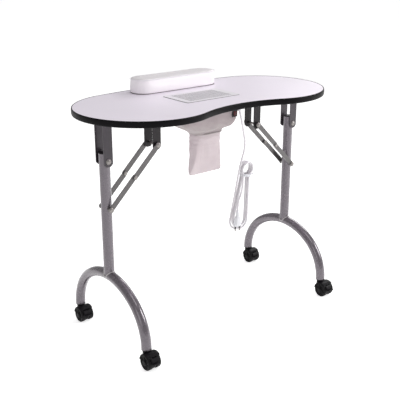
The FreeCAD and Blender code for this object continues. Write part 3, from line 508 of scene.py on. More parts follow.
def sweep(name, path, radius, material, turns=12, closed=False, squash=(1.0, 1.0)):
    """Round bar along points; radius may be a number or one per point."""
    path = [Vector(point) for point in path]
    count = len(path)
    radii = radius if isinstance(radius, list) else [radius] * count
    corners = []
    across = None
    for number, point in enumerate(path):
        before = path[number - 1] if number or closed else point
        after = path[(number + 1) % count] if number < count - 1 or closed else point
        along = (after - before).normalized()
        if across is None:
            across = axes_of(along)[0]
        across = (across - along * across.dot(along)).normalized()
        up = along.cross(across)
        corners.extend(point + radii[number] * (across * cosine * squash[0]
                                                + up * sine * squash[1])
                       for cosine, sine in circle_steps(turns))
    faces = ring_faces(count, turns, looped=closed)
    if not closed:
        faces += end_faces(len(corners), turns)
    return make_mesh(name, corners, faces, material)


def slab(name, low, high, material, bevel, segments=3):
    """Block with rounded edges between two corners."""
    low, high = Vector(low), Vector(high)
    build = bmesh.new()
    bmesh.ops.create_cube(build, size=1, matrix=Matrix.LocRotScale((low + high) / 2, None, high - low))
    bmesh.ops.bevel(build, geom=list(build.edges), offset=bevel, segments=segments,
                    profile=0.6, affect="EDGES")
    return finish_mesh(name, build, material)


def settle_cloth(piece, held, pressure, gravity, cap, frames=20):
    """Let the cloth find its shape; held vertices stay, and none moves more than the cap."""
    start = [vertex.co.copy() for vertex in piece.data.vertices]
    group = piece.vertex_groups.new(name="held")
    group.add([number for number, place in enumerate(start) if held(place)], 1.0, "REPLACE")
    settle = piece.modifiers.new("settle", "CLOTH")
    settle.collision_settings.use_collision = False
    settings = settle.settings
    settings.quality = 6
    settings.mass = 0.2
    settings.tension_stiffness = 25
    settings.compression_stiffness = 25
    settings.shear_stiffness = 12
    settings.bending_stiffness = 1.2
    settings.vertex_group_mass = "held"
    settings.use_pressure = pressure > 0
    settings.uniform_pressure_force = pressure
    settings.effector_weights.gravity = gravity
    for step in range(1, frames + 1):
        SCENE.frame_set(step)
    settled = piece.evaluated_get(bpy.context.evaluated_depsgraph_get())
    moves = [vertex.co - begin for vertex, begin in zip(settled.data.vertices, start)]
    piece.modifiers.remove(settle)
    for vertex, begin, move in zip(piece.data.vertices, start, moves):
        vertex.co = begin + move * (cap / max(move.length, cap))
    SCENE.frame_set(1)


def subdivide(piece):
    """Round a piece off with one level of subdivision."""
    modifier = piece.modifiers.new("subdivide", "SUBSURF")
    modifier.levels = 1
    modifier.render_levels = 1


def thicken(piece, thickness):
    """Give a skin a wall inside its faces."""
    wall = piece.modifiers.new("wall", "SOLIDIFY")
    wall.thickness = thickness
    wall.offset = -1


def dress(material, *nodes, bevel=None, segments=2):
    """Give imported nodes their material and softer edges."""
    for node in nodes:
        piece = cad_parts[node]
        piece.data.materials.clear()
        piece.data.materials.append(MATERIALS[material])
        if bevel:
            round_edges(piece, bevel, segments)


def put(piece, body, slot, *nodes):
    """Seat a new piece on its body and hide the imported nodes that it stands for; the slot is not
    used.
    """
    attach(piece, body)
    if nodes:
        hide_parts(*nodes)
    return piece


# --- mains lead ---

CORD_DIAMETER = 0.0065
LEAD_ROUTE = [
    (0.109, -0.034, 0.679),
    (0.116, -0.034, 0.656),
    (0.127, -0.034, 0.611),
    (0.139, -0.034, 0.557),
    (0.120, -0.034, 0.508),
    (0.108, -0.034, 0.462),
    (0.092, -0.034, 0.385),
]
GLAND_START = Vector((0.096, -0.034, 0.701))
HANK_TOP = Vector((0.147, -0.034, 0.506))
HANK_TILT = Quaternion((0, 1, 0), math.radians(9.5))
LOOP_RADIUS = 0.0225
TIE_DOWN = 0.049
# Each turn of the hank: its foot radius, its length, half its waist, its layer, how far its
# loop stops below the top, and how far the loop leans over, in radians.
TURNS = [(0.0330, 0.2400, 0.0118, 0.0078, 0.0, 0.0),
         (0.0300, 0.2310, 0.0108, 0.0006, 0.0030, 0.10),
         (0.0322, 0.2365, 0.0122, -0.0068, 0.0012, 0.17)]


def in_hank(across, depth, down):
    """Place in the tilted hank, measured from its top."""
    return HANK_TOP + HANK_TILT @ Vector((across, depth, -down))


def lean_over(across, down, lean):
    """Swing a point of a loop sideways about the tie, as slack loops fan out above it."""
    angle = lean * min(1.0, max(0.0, (TIE_DOWN + 0.005 - down) / 0.050))
    above = down - TIE_DOWN
    return (across * math.cos(angle) - above * math.sin(angle),
            TIE_DOWN + across * math.sin(angle) + above * math.cos(angle))


def turn_outline(foot, length, waist, drop, lean):
    """Across and down along one turn: foot, right side, top loop, left side."""
    foot_down = length - foot
    loop_down = LOOP_RADIUS + CORD_DIAMETER / 2 + drop
    reach = waist + LOOP_RADIUS
    waist_down = loop_down + math.sqrt(4 * LOOP_RADIUS ** 2 - reach ** 2)
    outline = []
    for step in range(9):
        angle = math.pi * (1 - step / 8)
        outline.append((foot * math.cos(angle), foot_down + foot * math.sin(angle)))
    side = [(waist + (foot - waist) * share, waist_down + (foot_down - waist_down) * share)
            for share in (0.75, 0.5, 0.25, 0.06)]
    tangent = math.atan2(waist_down - loop_down, reach)
    bend = [(reach - LOOP_RADIUS * math.cos(angle), waist_down - LOOP_RADIUS * math.sin(angle))
            for angle in (tangent * 0.3, tangent * 0.75)]
    sweep_angle = math.pi / 2 + tangent
    loop = [(LOOP_RADIUS * math.sin(angle), loop_down - LOOP_RADIUS * math.cos(angle))
            for angle in (sweep_angle * (1 - 2 * step / 10) for step in range(11))]
    right = side + bend
    outline += right + loop + [(-across, down) for across, down in reversed(right)]
    return [lean_over(across, down, lean) for across, down in outline]


def lead_points():
    """Route of the whole lead: free run, three turns of the hank, drop to the plug."""
    points = [Vector(point) for point in LEAD_ROUTE]
    for number, (foot, length, waist, layer, drop, lean) in enumerate(TURNS):
        outline = turn_outline(foot, length, waist, drop, lean)
        shift = 0
        if number < len(TURNS) - 1:
            shift = TURNS[number + 1][3] - layer
        else:
            outline = outline[:-3]
        for step, (across, down) in enumerate(outline):
            share = max(0, step - (len(outline) - 4)) / 4
            points.append(in_hank(across, layer + shift * share, down))
    plug = middle("cord_plug")
    plug_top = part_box("cord_plug")[1].z
    points.append(in_hank(-0.0150, -0.0120, 0.078))
    points.append(in_hank(-0.0220, -0.0180, 0.110))
    points.append(Vector((plug.x + 0.001, plug.y + 0.001, plug_top + 0.026)))
    points.append(Vector((plug.x, plug.y, plug_top - 0.004)))
    return points


def make_lead():
    """The lead as one spline; its radius is on the points, so that its box fits it."""
    points = lead_points()
    data = bpy.data.curves.new("mains_lead", "CURVE")
    data.dimensions = "3D"
    data.resolution_u = 8
    data.bevel_depth = 1
    data.bevel_resolution = 5
    data.use_fill_caps = True
    spline = data.splines.new("NURBS")
    spline.points.add(len(points) - 1)
    for control, point in zip(spline.points, points):
        control.co = (*point, 1)
        control.radius = CORD_DIAMETER / 2
    spline.order_u = 3
    spline.use_endpoint_u = True
    data.materials.append(MATERIALS["sheath"])
    return put(add("mains_lead", data), "top", "cord_sheath", "cord_lead", "cord_hank")


def spline_length(lead):
    """Length of the lead's own line."""
    depth = lead.data.bevel_depth
    lead.data.bevel_depth = 0
    bpy.context.view_layer.update()
    line = bpy.data.meshes.new_from_object(lead)
    lead.data.bevel_depth = depth
    places = [vertex.co for vertex in line.vertices]
    length = sum((after - before).length for before, after in zip(places, places[1:]))
    bpy.data.meshes.remove(line)
    return length


def ribbed(ribs, depth, shares):
    """Ribs of a strain relief: each is (radius, start, pitch), with its corners at the shares."""
    return [(radius - depth * (place in (0, 3)), start + share * pitch)
            for radius, start, pitch in ribs for place, share in enumerate(shares)]


def make_gland():
    """Tapered strain relief with ribs, in a round boss on the housing wall."""
    direction = Vector(LEAD_ROUTE[0]) - GLAND_START
    length = direction.length
    taper = length - 0.0065
    ribs = [(0.0068 - 0.0026 * share, 0.0055 + taper * share, taper / 6)
            for share in (rib / 6 for rib in range(6))]
    profile = [(0.0, -0.004), (0.0085, -0.004), (0.0085, 0.0035), (0.0078, 0.0045),
               *ribbed(ribs, 0.0008, (0, 0.15, 0.6, 0.75)), (0.0036, length), (0.0, length)]
    gland = lathe("strain_relief", profile, GLAND_START, direction, "sheath", 32)
    return put(gland, "top", "cord_sheath", "cord_gland")


def make_plug():
    """Moulded two-pin plug: waisted grip, ribbed tail and round pins."""
    x, y, _ = middle("cord_plug")
    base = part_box("cord_plug")[0].z + 0.018
    top = base + 0.035
    # Height above the base, half width, half depth and corner radius of the grip.
    grip = [(0.0, 0.0120, 0.0080, 0.0060), (0.0012, 0.0133, 0.0093, 0.0070),
            (0.006, 0.0135, 0.0095, 0.0075), (0.015, 0.0122, 0.0086, 0.0075),
            (0.024, 0.0116, 0.0082, 0.0078), (0.030, 0.0098, 0.0076, 0.0074),
            (0.035, 0.0070, 0.0066, 0.0062)]
    body = stack("plug_body", [(base + rise, (x, y), (half_x, half_y), corner)
                               for rise, half_x, half_y, corner in grip], 40, "plug")
    ribs = [(0.0064 - 0.0004 * rib, 0.001 + 0.0041 * rib, 0.001) for rib in range(5)]
    profile = [(0.0, -0.002), (0.0064, -0.002), *ribbed(ribs, 0.0007, (0, 0.8, 2.4, 3.1)),
               (0.0038, 0.0215), (0.0, 0.0215)]
    pieces = [body, lathe("plug_tail", profile, (x, y, top), UP, "plug", 28)]
    pin = [(0.0, -0.0188), (0.0016, -0.0186), (0.0024, -0.0172), (0.0024, -0.0095),
           (0.0024, 0.0), (0.0, 0.0)]
    sleeve = [(0.0, -0.0096), (0.00255, -0.0096), (0.00255, 0.0), (0.0, 0.0)]
    for sign in SIGNS:
        centre = (x + sign * 0.0095, y, base + 0.001)
        pieces.append(lathe("pin", pin, centre, UP, "zinc", 20))
        pieces.append(lathe("sleeve", sleeve, centre, UP, "fan", 20))
    return put(join("mains_plug", pieces), "top", "plug_plastic", "cord_plug")


def make_tie():
    """Flat wire tie wound twice round the hank, with its ends twisted together."""
    pitch = 0.0045
    path = []
    steps = 40
    for turn in range(2):
        outline = rounded_outline((0, 0), (0.0168, 0.0142), 0.010, steps)
        for step, (across, depth) in enumerate(outline):
            share = step / steps
            down = TIE_DOWN + pitch * (turn + share - 1) + 0.0015 * math.sin(math.tau * share)
            path.append(in_hank(across + 0.0008 * turn, depth, down))
    pieces = [sweep("band", path, 0.0016, "tie", 8, squash=(0.55, 1.5))]
    for start in (math.pi, 0):
        twist = []
        for step in range(25):
            angle = step * 0.9 + start
            twist.append(in_hank(0.0175 + 0.0007 * step, -0.004 + 0.0012 * math.cos(angle),
                                 TIE_DOWN + 0.0012 * math.sin(angle) - 0.0002 * step))
        pieces.append(sweep("end", twist, 0.0009, "tie", 8))
    return put(join("hank_tie", pieces), "top", "tie_plastic", "cord_tie")


def make_cord():
    """The lead with its strain relief, plug and tie."""
    lead = make_lead()
    gland, plug, tie = make_gland(), make_plug(), make_tie()
    spline_length(lead)


# --- top ---

LOBE_RADIUS = 0.212
LOBE_CENTRE = (0.238, 0.008)
FRONT_MIDDLE = -0.154


def tangent_radius(middle_y, sign):
    """Radius of the arc that meets both lobes and crosses x = 0 at middle_y."""
    reach = sign * (middle_y - LOBE_CENTRE[1])
    return ((LOBE_CENTRE[0] ** 2 + reach ** 2 - LOBE_RADIUS ** 2) / (2 * (reach - LOBE_RADIUS)))


def kidney_outline(step=0.006):
    """Points and outward directions round the top, anticlockwise from above."""
    lobe_x, lobe_y = LOBE_CENTRE
    back_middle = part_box("edge_band")[1].y
    back = tangent_radius(back_middle, 1)
    front = -tangent_radius(FRONT_MIDDLE, -1)
    back_centre, front_centre = back_middle - back, FRONT_MIDDLE - front
    back_turn = math.atan2(lobe_y - back_centre, lobe_x)
    front_turn = math.atan2(front_centre - lobe_y, -lobe_x)
    arcs = [
        ((lobe_x, lobe_y), LOBE_RADIUS, front_turn, back_turn, 1),
        ((0, back_centre), back, back_turn, math.pi - back_turn, 1),
        ((-lobe_x, lobe_y), LOBE_RADIUS, math.pi - back_turn, math.pi - front_turn, 1),
        ((0, front_centre), front, -front_turn, math.pi + front_turn, -1),
    ]
    points = []
    for (x, y), radius, start, end, outward in arcs:
        count = max(4, round(abs(end - start) * radius / step))
        for number in range(count):
            angle = start + (end - start) * number / count
            out = Vector((math.cos(angle), math.sin(angle), 0))
            points.append((Vector((x, y, 0)) + out * radius, out * outward))
    return points


def make_edge_band():
    """Moulded strip: rounded edges, a shallow bulge and a lip over the laminate."""
    half = (TOP_Z - UNDERSIDE_Z) / 2
    mid_z = (TOP_Z + UNDERSIDE_Z) / 2
    section = [(-0.0032, half), (-0.0030, half + 0.0005), (-0.0016, half + 0.0006),
               (-0.0007, half - 0.0002), (-0.0002, half - 0.0016), (0.0002, half * 0.5),
               (0.0003, 0.0), (0.0002, -half * 0.5), (-0.0002, 0.0016 - half),
               (-0.0007, 0.0002 - half), (-0.0016, -half - 0.0005), (-0.0030, -half - 0.0004),
               (-0.0032, -half)]
    outline = kidney_outline()
    corners = [point + out * move + UP * (mid_z + rise)
               for point, out in outline for move, rise in section]
    band = make_mesh("edge_strip", corners,
                     ring_faces(len(outline), len(section), looped=True), "edging")
    put(band, "top", "edge_band_black", "edge_band")


def make_cushion():
    """Upholstered arm rest: crowned top panel, boxed side and piped seams."""
    low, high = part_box("arm_rest_cushion")
    centre, (half_x, half_y) = plan("arm_rest_cushion")
    corner, shrink, count = 0.040, 0.0012, 132
    # Height above the base and inset of each ring up the side, then of the crowned top.
    side = ((0.0, 0.0030), (0.0015, 0.0018), (0.005, 0.0004), (0.012, -0.0010),
            (0.022, -0.0022), (0.031, -0.0021), (0.039, -0.0014), (0.0445, 0.0000),
            (0.0478, 0.0018), (0.0496, 0.0048))
    rings = [(low.z + height, inset) for height, inset in side]
    rings += [(high.z - 0.0010 + 0.0016 * math.sin(share * 1.5), share * half_y * 0.98)
              for share in (0.3, 0.45, 0.6, 0.75, 0.88)]
    skin = stack("arm_rest", [(level, centre, (half_x - shrink - inset, half_y - shrink - inset),
                               max(corner - inset, 0.002)) for level, inset in rings],
                 count, "vinyl")
    settle_cloth(skin, lambda place: place.z < low.z + 0.002, 1.2, 0.0, 0.0028)
    subdivide(skin)
    put(skin, "top", "cushion_vinyl", "arm_rest_cushion")

    # The base piping takes the dark line colour as painted shadow along the cushion's foot.
    for name, height, inset, finish in (("top", 0.0450, 0.0018, "piping"),
                                        ("base", 0.0014, 0.0030, "marks_and_painted_shadow")):
        outline = rounded_outline(centre, (half_x - inset, half_y - inset), corner - inset, count)
        piping = sweep(f"arm_rest_piping_{name}", [(x, y, low.z + height) for x, y in outline],
                       0.0011, finish, 8, closed=True)
        put(piping, "top", "cushion_vinyl")


def make_grille_filter():
    """Dark filter mat just under the slots, with a quilted surface."""
    centre = middle("grille_panel")
    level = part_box("grille_panel")[0].z - 0.0012
    half_x, half_y = 0.088, 0.0525
    columns, rows = 60, 38
    corners = []
    for row in range(rows + 1):
        for column in range(columns + 1):
            x = centre.x - half_x + 2 * half_x * column / columns
            y = centre.y - half_y + 2 * half_y * row / rows
            corners.append((x, y, level + 0.0005 * noise.noise(Vector((x, y, 0)) * 260)))
    mat = make_mesh("filter_mat", corners, sheet_faces(rows, columns), "filter")
    thicken(mat, 0.004)
    put(mat, "top", "grille_plastic")


# --- fan unit ---

def make_housing():
    """Hopper with rounded shoulders, a ledge and a round neck."""
    (mid_x, mid_y), (half_x, half_y) = plan("fan_housing")
    # Height, left and right edges, half depth and corner radius of each level.
    levels = [
        (0.7188, -0.1335, 0.1075, 0.0620, 0.0200), (0.7080, -0.1335, 0.1075, 0.0620, 0.0200),
        (0.6900, -0.1320, 0.1060, 0.0618, 0.0210), (0.6750, -0.1270, 0.1035, 0.0615, 0.0220),
        (0.6620, -0.1170, 0.1010, 0.0605, 0.0240), (0.6540, -0.1060, 0.1005, 0.0585, 0.0260),
        (0.6480, -0.0980, 0.1008, 0.0560, 0.0280), (0.6420, -0.0910, 0.0990, 0.0525, 0.0300),
        (0.6375, -0.0850, 0.0940, 0.0490, 0.0310), (0.6340, -0.0790, 0.0840, 0.0455, 0.0320),
        (0.6315, -0.0730, 0.0730, 0.0425, 0.0330), (0.6285, -0.0670, 0.0670, 0.0400, 0.0330),
        (0.6250, -0.0605, 0.0640, 0.0385, 0.0335), (0.6210, -0.0550, 0.0615, 0.0375, 0.0340),
        (0.6185, -0.0530, 0.0600, 0.0368, 0.0335),
    ]
    rings = [(level, ((left + right) / 2, mid_y), ((right - left) / 2, depth), corner)
             for level, left, right, depth, corner in levels]
    shell = stack("fan_hopper", rings, 120, "housing", closed=False)
    drape(shell, mid_y)
    cut_window(shell)
    thicken(shell, 0.0022)
    subdivide(shell)
    put(shell, "top", "housing_plastic", "fan_housing")

    # Depth below the board, growth beyond the housing and corner radius of each flange ring.
    flange = stack("hopper_flange", [
        (UNDERSIDE_Z - depth, (mid_x, mid_y), (half_x + grow, half_y + grow), corner)
        for depth, grow, corner in ((0.0032, 0.0048, 0.022), (0.0020, 0.006, 0.024),
                                    (0.0002, 0.006, 0.024), (0.0002, -0.001, 0.018),
                                    (0.0032, -0.001, 0.018))], 96, "housing", closed=False)
    put(flange, "top", "housing_plastic")


def drape(shell, mid_y):
    """Slack folds that run slantwise down the hopper to its neck."""
    for vertex in shell.data.vertices:
        place = vertex.co
        slack = max(0.0, min(1.0, (0.700 - place.z) / 0.03)) * min(1.0, (place.z - 0.618) / 0.012)
        if slack <= 0:
            continue
        out = Vector((place.x, place.y - mid_y, 0)).normalized()
        slant = place.x * 0.55 + place.z * 2.2
        fold = 0.4 - 2 * abs(noise.noise(Vector((slant * 20, place.y * 9, 4.7))))
        crease = 0.3 - abs(noise.noise(Vector((place.x * 34 - place.z * 60, place.y * 30, 9.1))))
        vertex.co = place + out * slack * (0.0085 * fold + 0.0075 * crease)


def cut_window(shell):
    """Take out the faces behind the switch."""
    low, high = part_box("switch_body")

    def behind(face):
        place = face.calc_center_median()
        return (low.x + 0.003 < place.x < high.x - 0.003
                and low.z + 0.004 < place.z < high.z - 0.004 and place.y < low.y + 0.008)

    build = bmesh.new()
    build.from_mesh(shell.data)
    bmesh.ops.delete(build, geom=[face for face in build.faces if behind(face)], context="FACES")
    build.to_mesh(shell.data)
    build.free()


def make_collar():
    """Clamp ring that holds the bag on the neck, with a dark cord in its groove as a painted shadow
    line.
    """
    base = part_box("bag_collar")[0].z
    centre, (half_x, half_y) = plan("bag_collar")
    corner, groove, count = 0.0370, 0.0018, 96
    section = [(0.0034, 0.0), (0.0018, 0.0004), (0.0008, 0.0018), (0.0010, 0.0032),
               (0.0026, 0.0040), (0.0026, 0.0050), (0.0010, 0.0058), (0.0008, 0.0072),
               (0.0018, 0.0086), (0.0034, 0.0090)]
    rings = [(base + rise, centre, (half_x - inset, half_y - inset), corner - inset)
             for inset, rise in section]
    ring = stack("collar_ring", rings, count, "housing", closed=False)
    put(ring, "top", "housing_plastic", "bag_collar")
    # The dark cord in the groove is a painted shadow line at the fold of the gathered cloth.
    outline = rounded_outline(centre, (half_x - groove, half_y - groove), corner - groove, count)
    marks_and_painted_shadow = sweep("painted_groove_shadow", [(x, y, base + 0.0045) for x, y in outline], 0.0011,
                   "marks_and_painted_shadow", 8, closed=True)
    put(marks_and_painted_shadow, "top", "housing_plastic")


def bag_corners(centre, low, high, half_width, count, rows):
    """Rings of the bag from its gathered top to its flat hem, with slack folds between."""
    top = high.z + 0.004
    neck_x, neck_y, hem_y = 0.0540, 0.0362, 0.0032
    random = Random(7)
    folds = [(random.uniform(0, math.tau), random.choice((5, 7, 9, 12)),
              random.uniform(0.4, 1.0)) for _ in range(6)]
    corners = []
    for row in range(rows + 1):
        share = row / rows
        bulge = math.sin(math.pi * share)
        shape = share ** 0.75 * (1 - 0.22 * bulge)
        half_x = (neck_x + (half_width - neck_x) * share ** 0.9
                  - 0.005 * max(0.0, (share - 0.9) / 0.1) ** 2)
        half_y = neck_y + (hem_y - neck_y) * shape
        outline = rounded_outline(centre, (half_x, half_y), min(0.034, half_y), count)
        level = top - (top - low.z) * share
        free = min(share * 6, 1) * (1 - share) ** 0.6
        for step, (x, y) in enumerate(outline):
            angle = math.tau * step / count
            gather = sum(size * math.sin(waves * angle + start) for start, waves, size in folds)
            ripple = noise.noise(Vector((x * 24, level * 30, y * 8)) + Vector((3.1, 0, 0)))
            slant = noise.noise(Vector((x * 14 + level * 22, level * 9 - x * 17, 2.5)))
            out = Vector((x - centre[0], y - centre[1], 0)).normalized()
            push = free * (0.0009 * gather + 0.0046 * ripple + 0.0056 * slant - 0.0014)
            sag = 0.0022 * bulge * noise.noise(Vector((x * 30, y * 30, 7)))
            corners.append(Vector((x, y, level + sag)) + out * push)
    return corners


def make_hem(centre, base, half_width):
    """Flat sewn hem with a row of stitches on each side."""
    stitches = []
    for side in SIGNS:
        for number in range(34):
            start = Vector((centre[0] + (number / 33 - 0.5) * 0.120 - 0.0012,
                            centre[1] + side * 0.0068, base + 0.0105))
            path = [start + Vector(move) for move in ((0, 0, 0), (0.0012, side * 0.0003, 0),
                                                      (0.0026, 0, 0))]
            stitches.append(sweep("stitch", path, 0.00035, "thread", 6))
    band = slab("hem", (centre[0] - half_width, centre[1] - 0.0042, base + 0.0005),
                (centre[0] + half_width, centre[1] + 0.0042, base + 0.009), "bag", 0.0035, 4)
    return put(join("pouch_hem", [band, *stitches]), "top", "bag_cloth")


def make_bag():
    """Cloth pouch gathered at the collar, with slack folds and a flat sewn hem."""
    low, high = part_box("dust_bag")
    centre, (half_x, _) = plan("dust_bag")
    half_width = half_x - 0.001
    count, rows = 150, 44
    corners = bag_corners(centre, low, high, half_width, count, rows)
    faces = ring_faces(rows + 1, count) + end_faces(len(corners), count)[1:]
    pouch = make_mesh("dust_pouch", corners, faces, "bag")
    settle_cloth(pouch, lambda place: place.z > high.z - 0.003 or place.z < low.z + 0.004,
                 0.35, 1.0, 0.005, 16)
    pucker(pouch, centre[1], high.z)
    subdivide(pouch)
    put(pouch, "top", "bag_cloth", "dust_bag")
    hem = make_hem(centre, low.z, half_width - 0.0055)
    for piece in (bake_modifiers(pouch), hem):
        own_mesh(piece)


def pucker(pouch, mid_y, top):
    """Sharp little folds where the cloth is gathered, fading out down the bag."""
    for vertex in pouch.data.vertices:
        place = vertex.co
        below = top - place.z
        free = min(max(below, 0) / 0.010, 1) * max(0.15, 1 - below / 0.070)
        out = Vector((place.x, place.y - mid_y, 0)).normalized()
        slant = Vector((place.x * 22 + place.z * 26, place.z * 62, place.y * 20))
        vertex.co = place + out * free * 0.0105 * (0.25 - abs(noise.noise(slant)))


def bake_modifiers(piece):
    """Apply a piece's modifiers to its mesh."""
    bpy.context.view_layer.update()
    final = bpy.data.meshes.new_from_object(piece.evaluated_get(bpy.context.evaluated_depsgraph_get()))
    piece.modifiers.clear()
    piece.data = final
    return piece


def make_switch():
    """Rocker switch with its on and off marks."""
    dress("switch", "switch_body", bevel=0.0007)
    dress("rocker", "switch_rocker", bevel=0.0008, segments=3)
    low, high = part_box("switch_rocker")
    x, face = middle("switch_rocker").x, low.y
    bar = slab("mark_on", (x - 0.0004, face - 0.00025, high.z - 0.0060),
               (x + 0.0004, face + 0.0004, high.z - 0.0026), "marks_and_painted_shadow", 0.0001, 1)
    path = [(x + 0.0016 * cosine, face, low.z + 0.0045 + 0.0016 * sine)
            for cosine, sine in circle_steps(24)]
    ring = sweep("mark_off", path, 0.00035, "marks_and_painted_shadow", 6, closed=True)
    put(join("rocker_marks", [bar, ring]), "switch_rocker", "rocker_plastic")


def make_fan():
    """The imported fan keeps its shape."""
    dress("fan", "fan_frame", "fan_impeller", bevel=0.0006)


# --- legs ---

def dome_profile(radius, height, start):
    """Domed head from its flat face outwards."""
    steps = 8
    turns = (math.pi / 2 * step / steps for step in range(steps))
    edge = [(radius * math.cos(turn), start + height * (0.25 + 0.75 * math.sin(turn)))
            for turn in turns]
    return [(0.0, start), (radius, start), *edge, (0.0, start + height)]


def make_nut(centre, direction, width, height):
    """Chamfered hexagonal nut."""
    profile = [(0.0, 0.0), (0.94, 0.0), (1.0, 0.12), (1.0, 0.86), (0.92, 1.0), (0.5, 1.0),
               (0.46, 0.9), (0.0, 0.9)]
    return lathe("nut", [(share * width / 2, level * height) for share, level in profile],
                 centre, direction, "zinc", 6, smooth=False)


def make_cross_bolt(node, body, sleeves=()):
    """Bolt across the leg plane: domed head and washer in front, nut behind.

    Sleeves are (start, length) pairs measured from the leg plane, one for each side.
    """
    low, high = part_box(node)
    x, _, z = middle(node)
    head, thickness = 0.004, 0.0009
    front, rear = low.y + head, high.y - head
    shank = [(0.0, 0.0), (0.00395, 0.0), (0.00395, rear - front), (0.0, rear - front)]
    washer = [(0.0, 0.0), (0.0088, 0.0), (0.0088, thickness), (0.0, 0.0010)]
    pieces = [
        lathe("shank", shank, (x, front, z), (0, 1, 0), "zinc", 28),
        lathe("washer", washer, (x, front, z), (0, -1, 0), "zinc", 40),
        lathe("head", dome_profile(0.0074, 0.0036, thickness), (x, front, z), (0, -1, 0),
              "zinc", 40),
        lathe("washer", washer, (x, rear, z), (0, 1, 0), "zinc", 40),
        make_nut((x, rear + thickness, z), (0, 1, 0), 0.0148, 0.0036),
    ]
    for start, length in sleeves:
        profile = [(0.0, 0.0), (0.0062, 0.0), (0.0065, 0.0004), (0.0065, length - 0.0004),
                   (0.0062, length), (0.0, length)]
        pieces += [lathe("sleeve", profile, (x, LEG_Y + sign * start, z), (0, sign, 0), "zinc", 32)
                   for sign in SIGNS]
    put(join(node + "_detail", pieces), body, "bolt_zinc", node)


def make_weld(side):
    """Bead where the upright is coped on to the arch."""
    x = middle(f"{side}_upright").x
    tube = half_size(f"{side}_arch").x
    apex, crown, bead = 0.227, 0.210, 0.0171
    path, radii = [], []
    for step, (cosine, sine) in enumerate(circle_steps(120)):
        across, along = bead * cosine, bead * sine
        axis_z = apex - crown + math.sqrt(crown ** 2 - along ** 2)
        rise = math.sqrt(max(tube ** 2 - across ** 2, 0))
        path.append((x + across, LEG_Y + along, axis_z + rise))
        radii.append(0.0021 + 0.0006 * noise.noise(Vector((step * 0.9, 0, x * 40)))
                     + 0.0003 * math.sin(step * 1.7))
    weld = sweep(f"{side}_weld", path, radii, "weld", 10, closed=True)
    subdivide(weld)
    put(weld, f"{side}_leg", "leg_paint")


def make_cap(side):
    """Push-in plug with a shallow dome on the upright."""
    x, y, _ = middle(f"{side}_upright_cap")
    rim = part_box(f"{side}_upright_cap")[1].z - 0.004
    profile = [(0.0, -0.013), (0.0143, -0.013), (0.0147, -0.012), (0.0147, 0.0), (0.0164, 0.0),
               (0.0165, 0.0008), (0.0163, 0.0018), (0.0150, 0.0028), (0.0112, 0.0035),
               (0.0060, 0.0039), (0.0, 0.0040)]
    cap = lathe(f"{side}_tube_cap", profile, (x, y, rim), UP, "cap", 48)
    put(cap, f"{side}_leg", "cap_plastic", f"{side}_upright_cap")


def make_knee_rivets(side):
    """Domed rivet heads on both faces of each knee."""
    inset = 0.008
    profile = dome_profile(0.0062, 0.0012, 0.0)
    for kind in ("upper", "lower"):
        heads = []
        for end, sign in zip(ENDS, SIGNS):
            low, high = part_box(f"{side}_{kind}_link_{end}")
            outward = sign if kind == "upper" else -sign
            face = low.y if outward < 0 else high.y
            knee_x = high.x - inset if (side == "left") == (kind == "lower") else low.x + inset
            knee_z = low.z + inset if kind == "upper" else high.z - inset
            heads.append(lathe("rivet", profile, (knee_x, face, knee_z), (0, outward, 0), "zinc", 36))
        put(join(f"{side}_{kind}_rivets", heads), f"{side}_{kind}_links", "bolt_zinc")


def make_leg_detail(side):
    """Looks and small parts of one leg and its brace."""
    dress("leg", f"{side}_upright", f"{side}_arch", bevel=0.0005)
    dress("bracket", f"{side}_leg_bracket", bevel=0.0007, segments=3)
    dress("dark_bracket", f"{side}_brace_bracket", bevel=0.0007, segments=3)
    dress("link", *(f"{side}_{kind}_link_{end}" for kind in ("upper", "lower") for end in ENDS),
          bevel=0.0006, segments=3)
    dress("cap", f"{side}_caster_sockets", bevel=0.0006)
    make_cross_bolt(f"{side}_leg_bolt", "top")
    half_tube = half_size(f"{side}_upright").y
    plate = half_size(f"{side}_brace_bracket").y
    make_cross_bolt(f"{side}_brace_bolt", "top", [(plate, 0.0039)])
    make_cross_bolt(f"{side}_brace_foot_bolt", f"{side}_leg",
                    [(half_tube - 0.0006, plate - half_tube + 0.0010)])
    make_weld(side)
    make_cap(side)
    make_knee_rivets(side)


# --- casters ---

def stem_y(name):
    """Depth of a caster's swivel stem, near the rear of its hood."""
    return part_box(f"{name}_hood")[1].y - 0.012


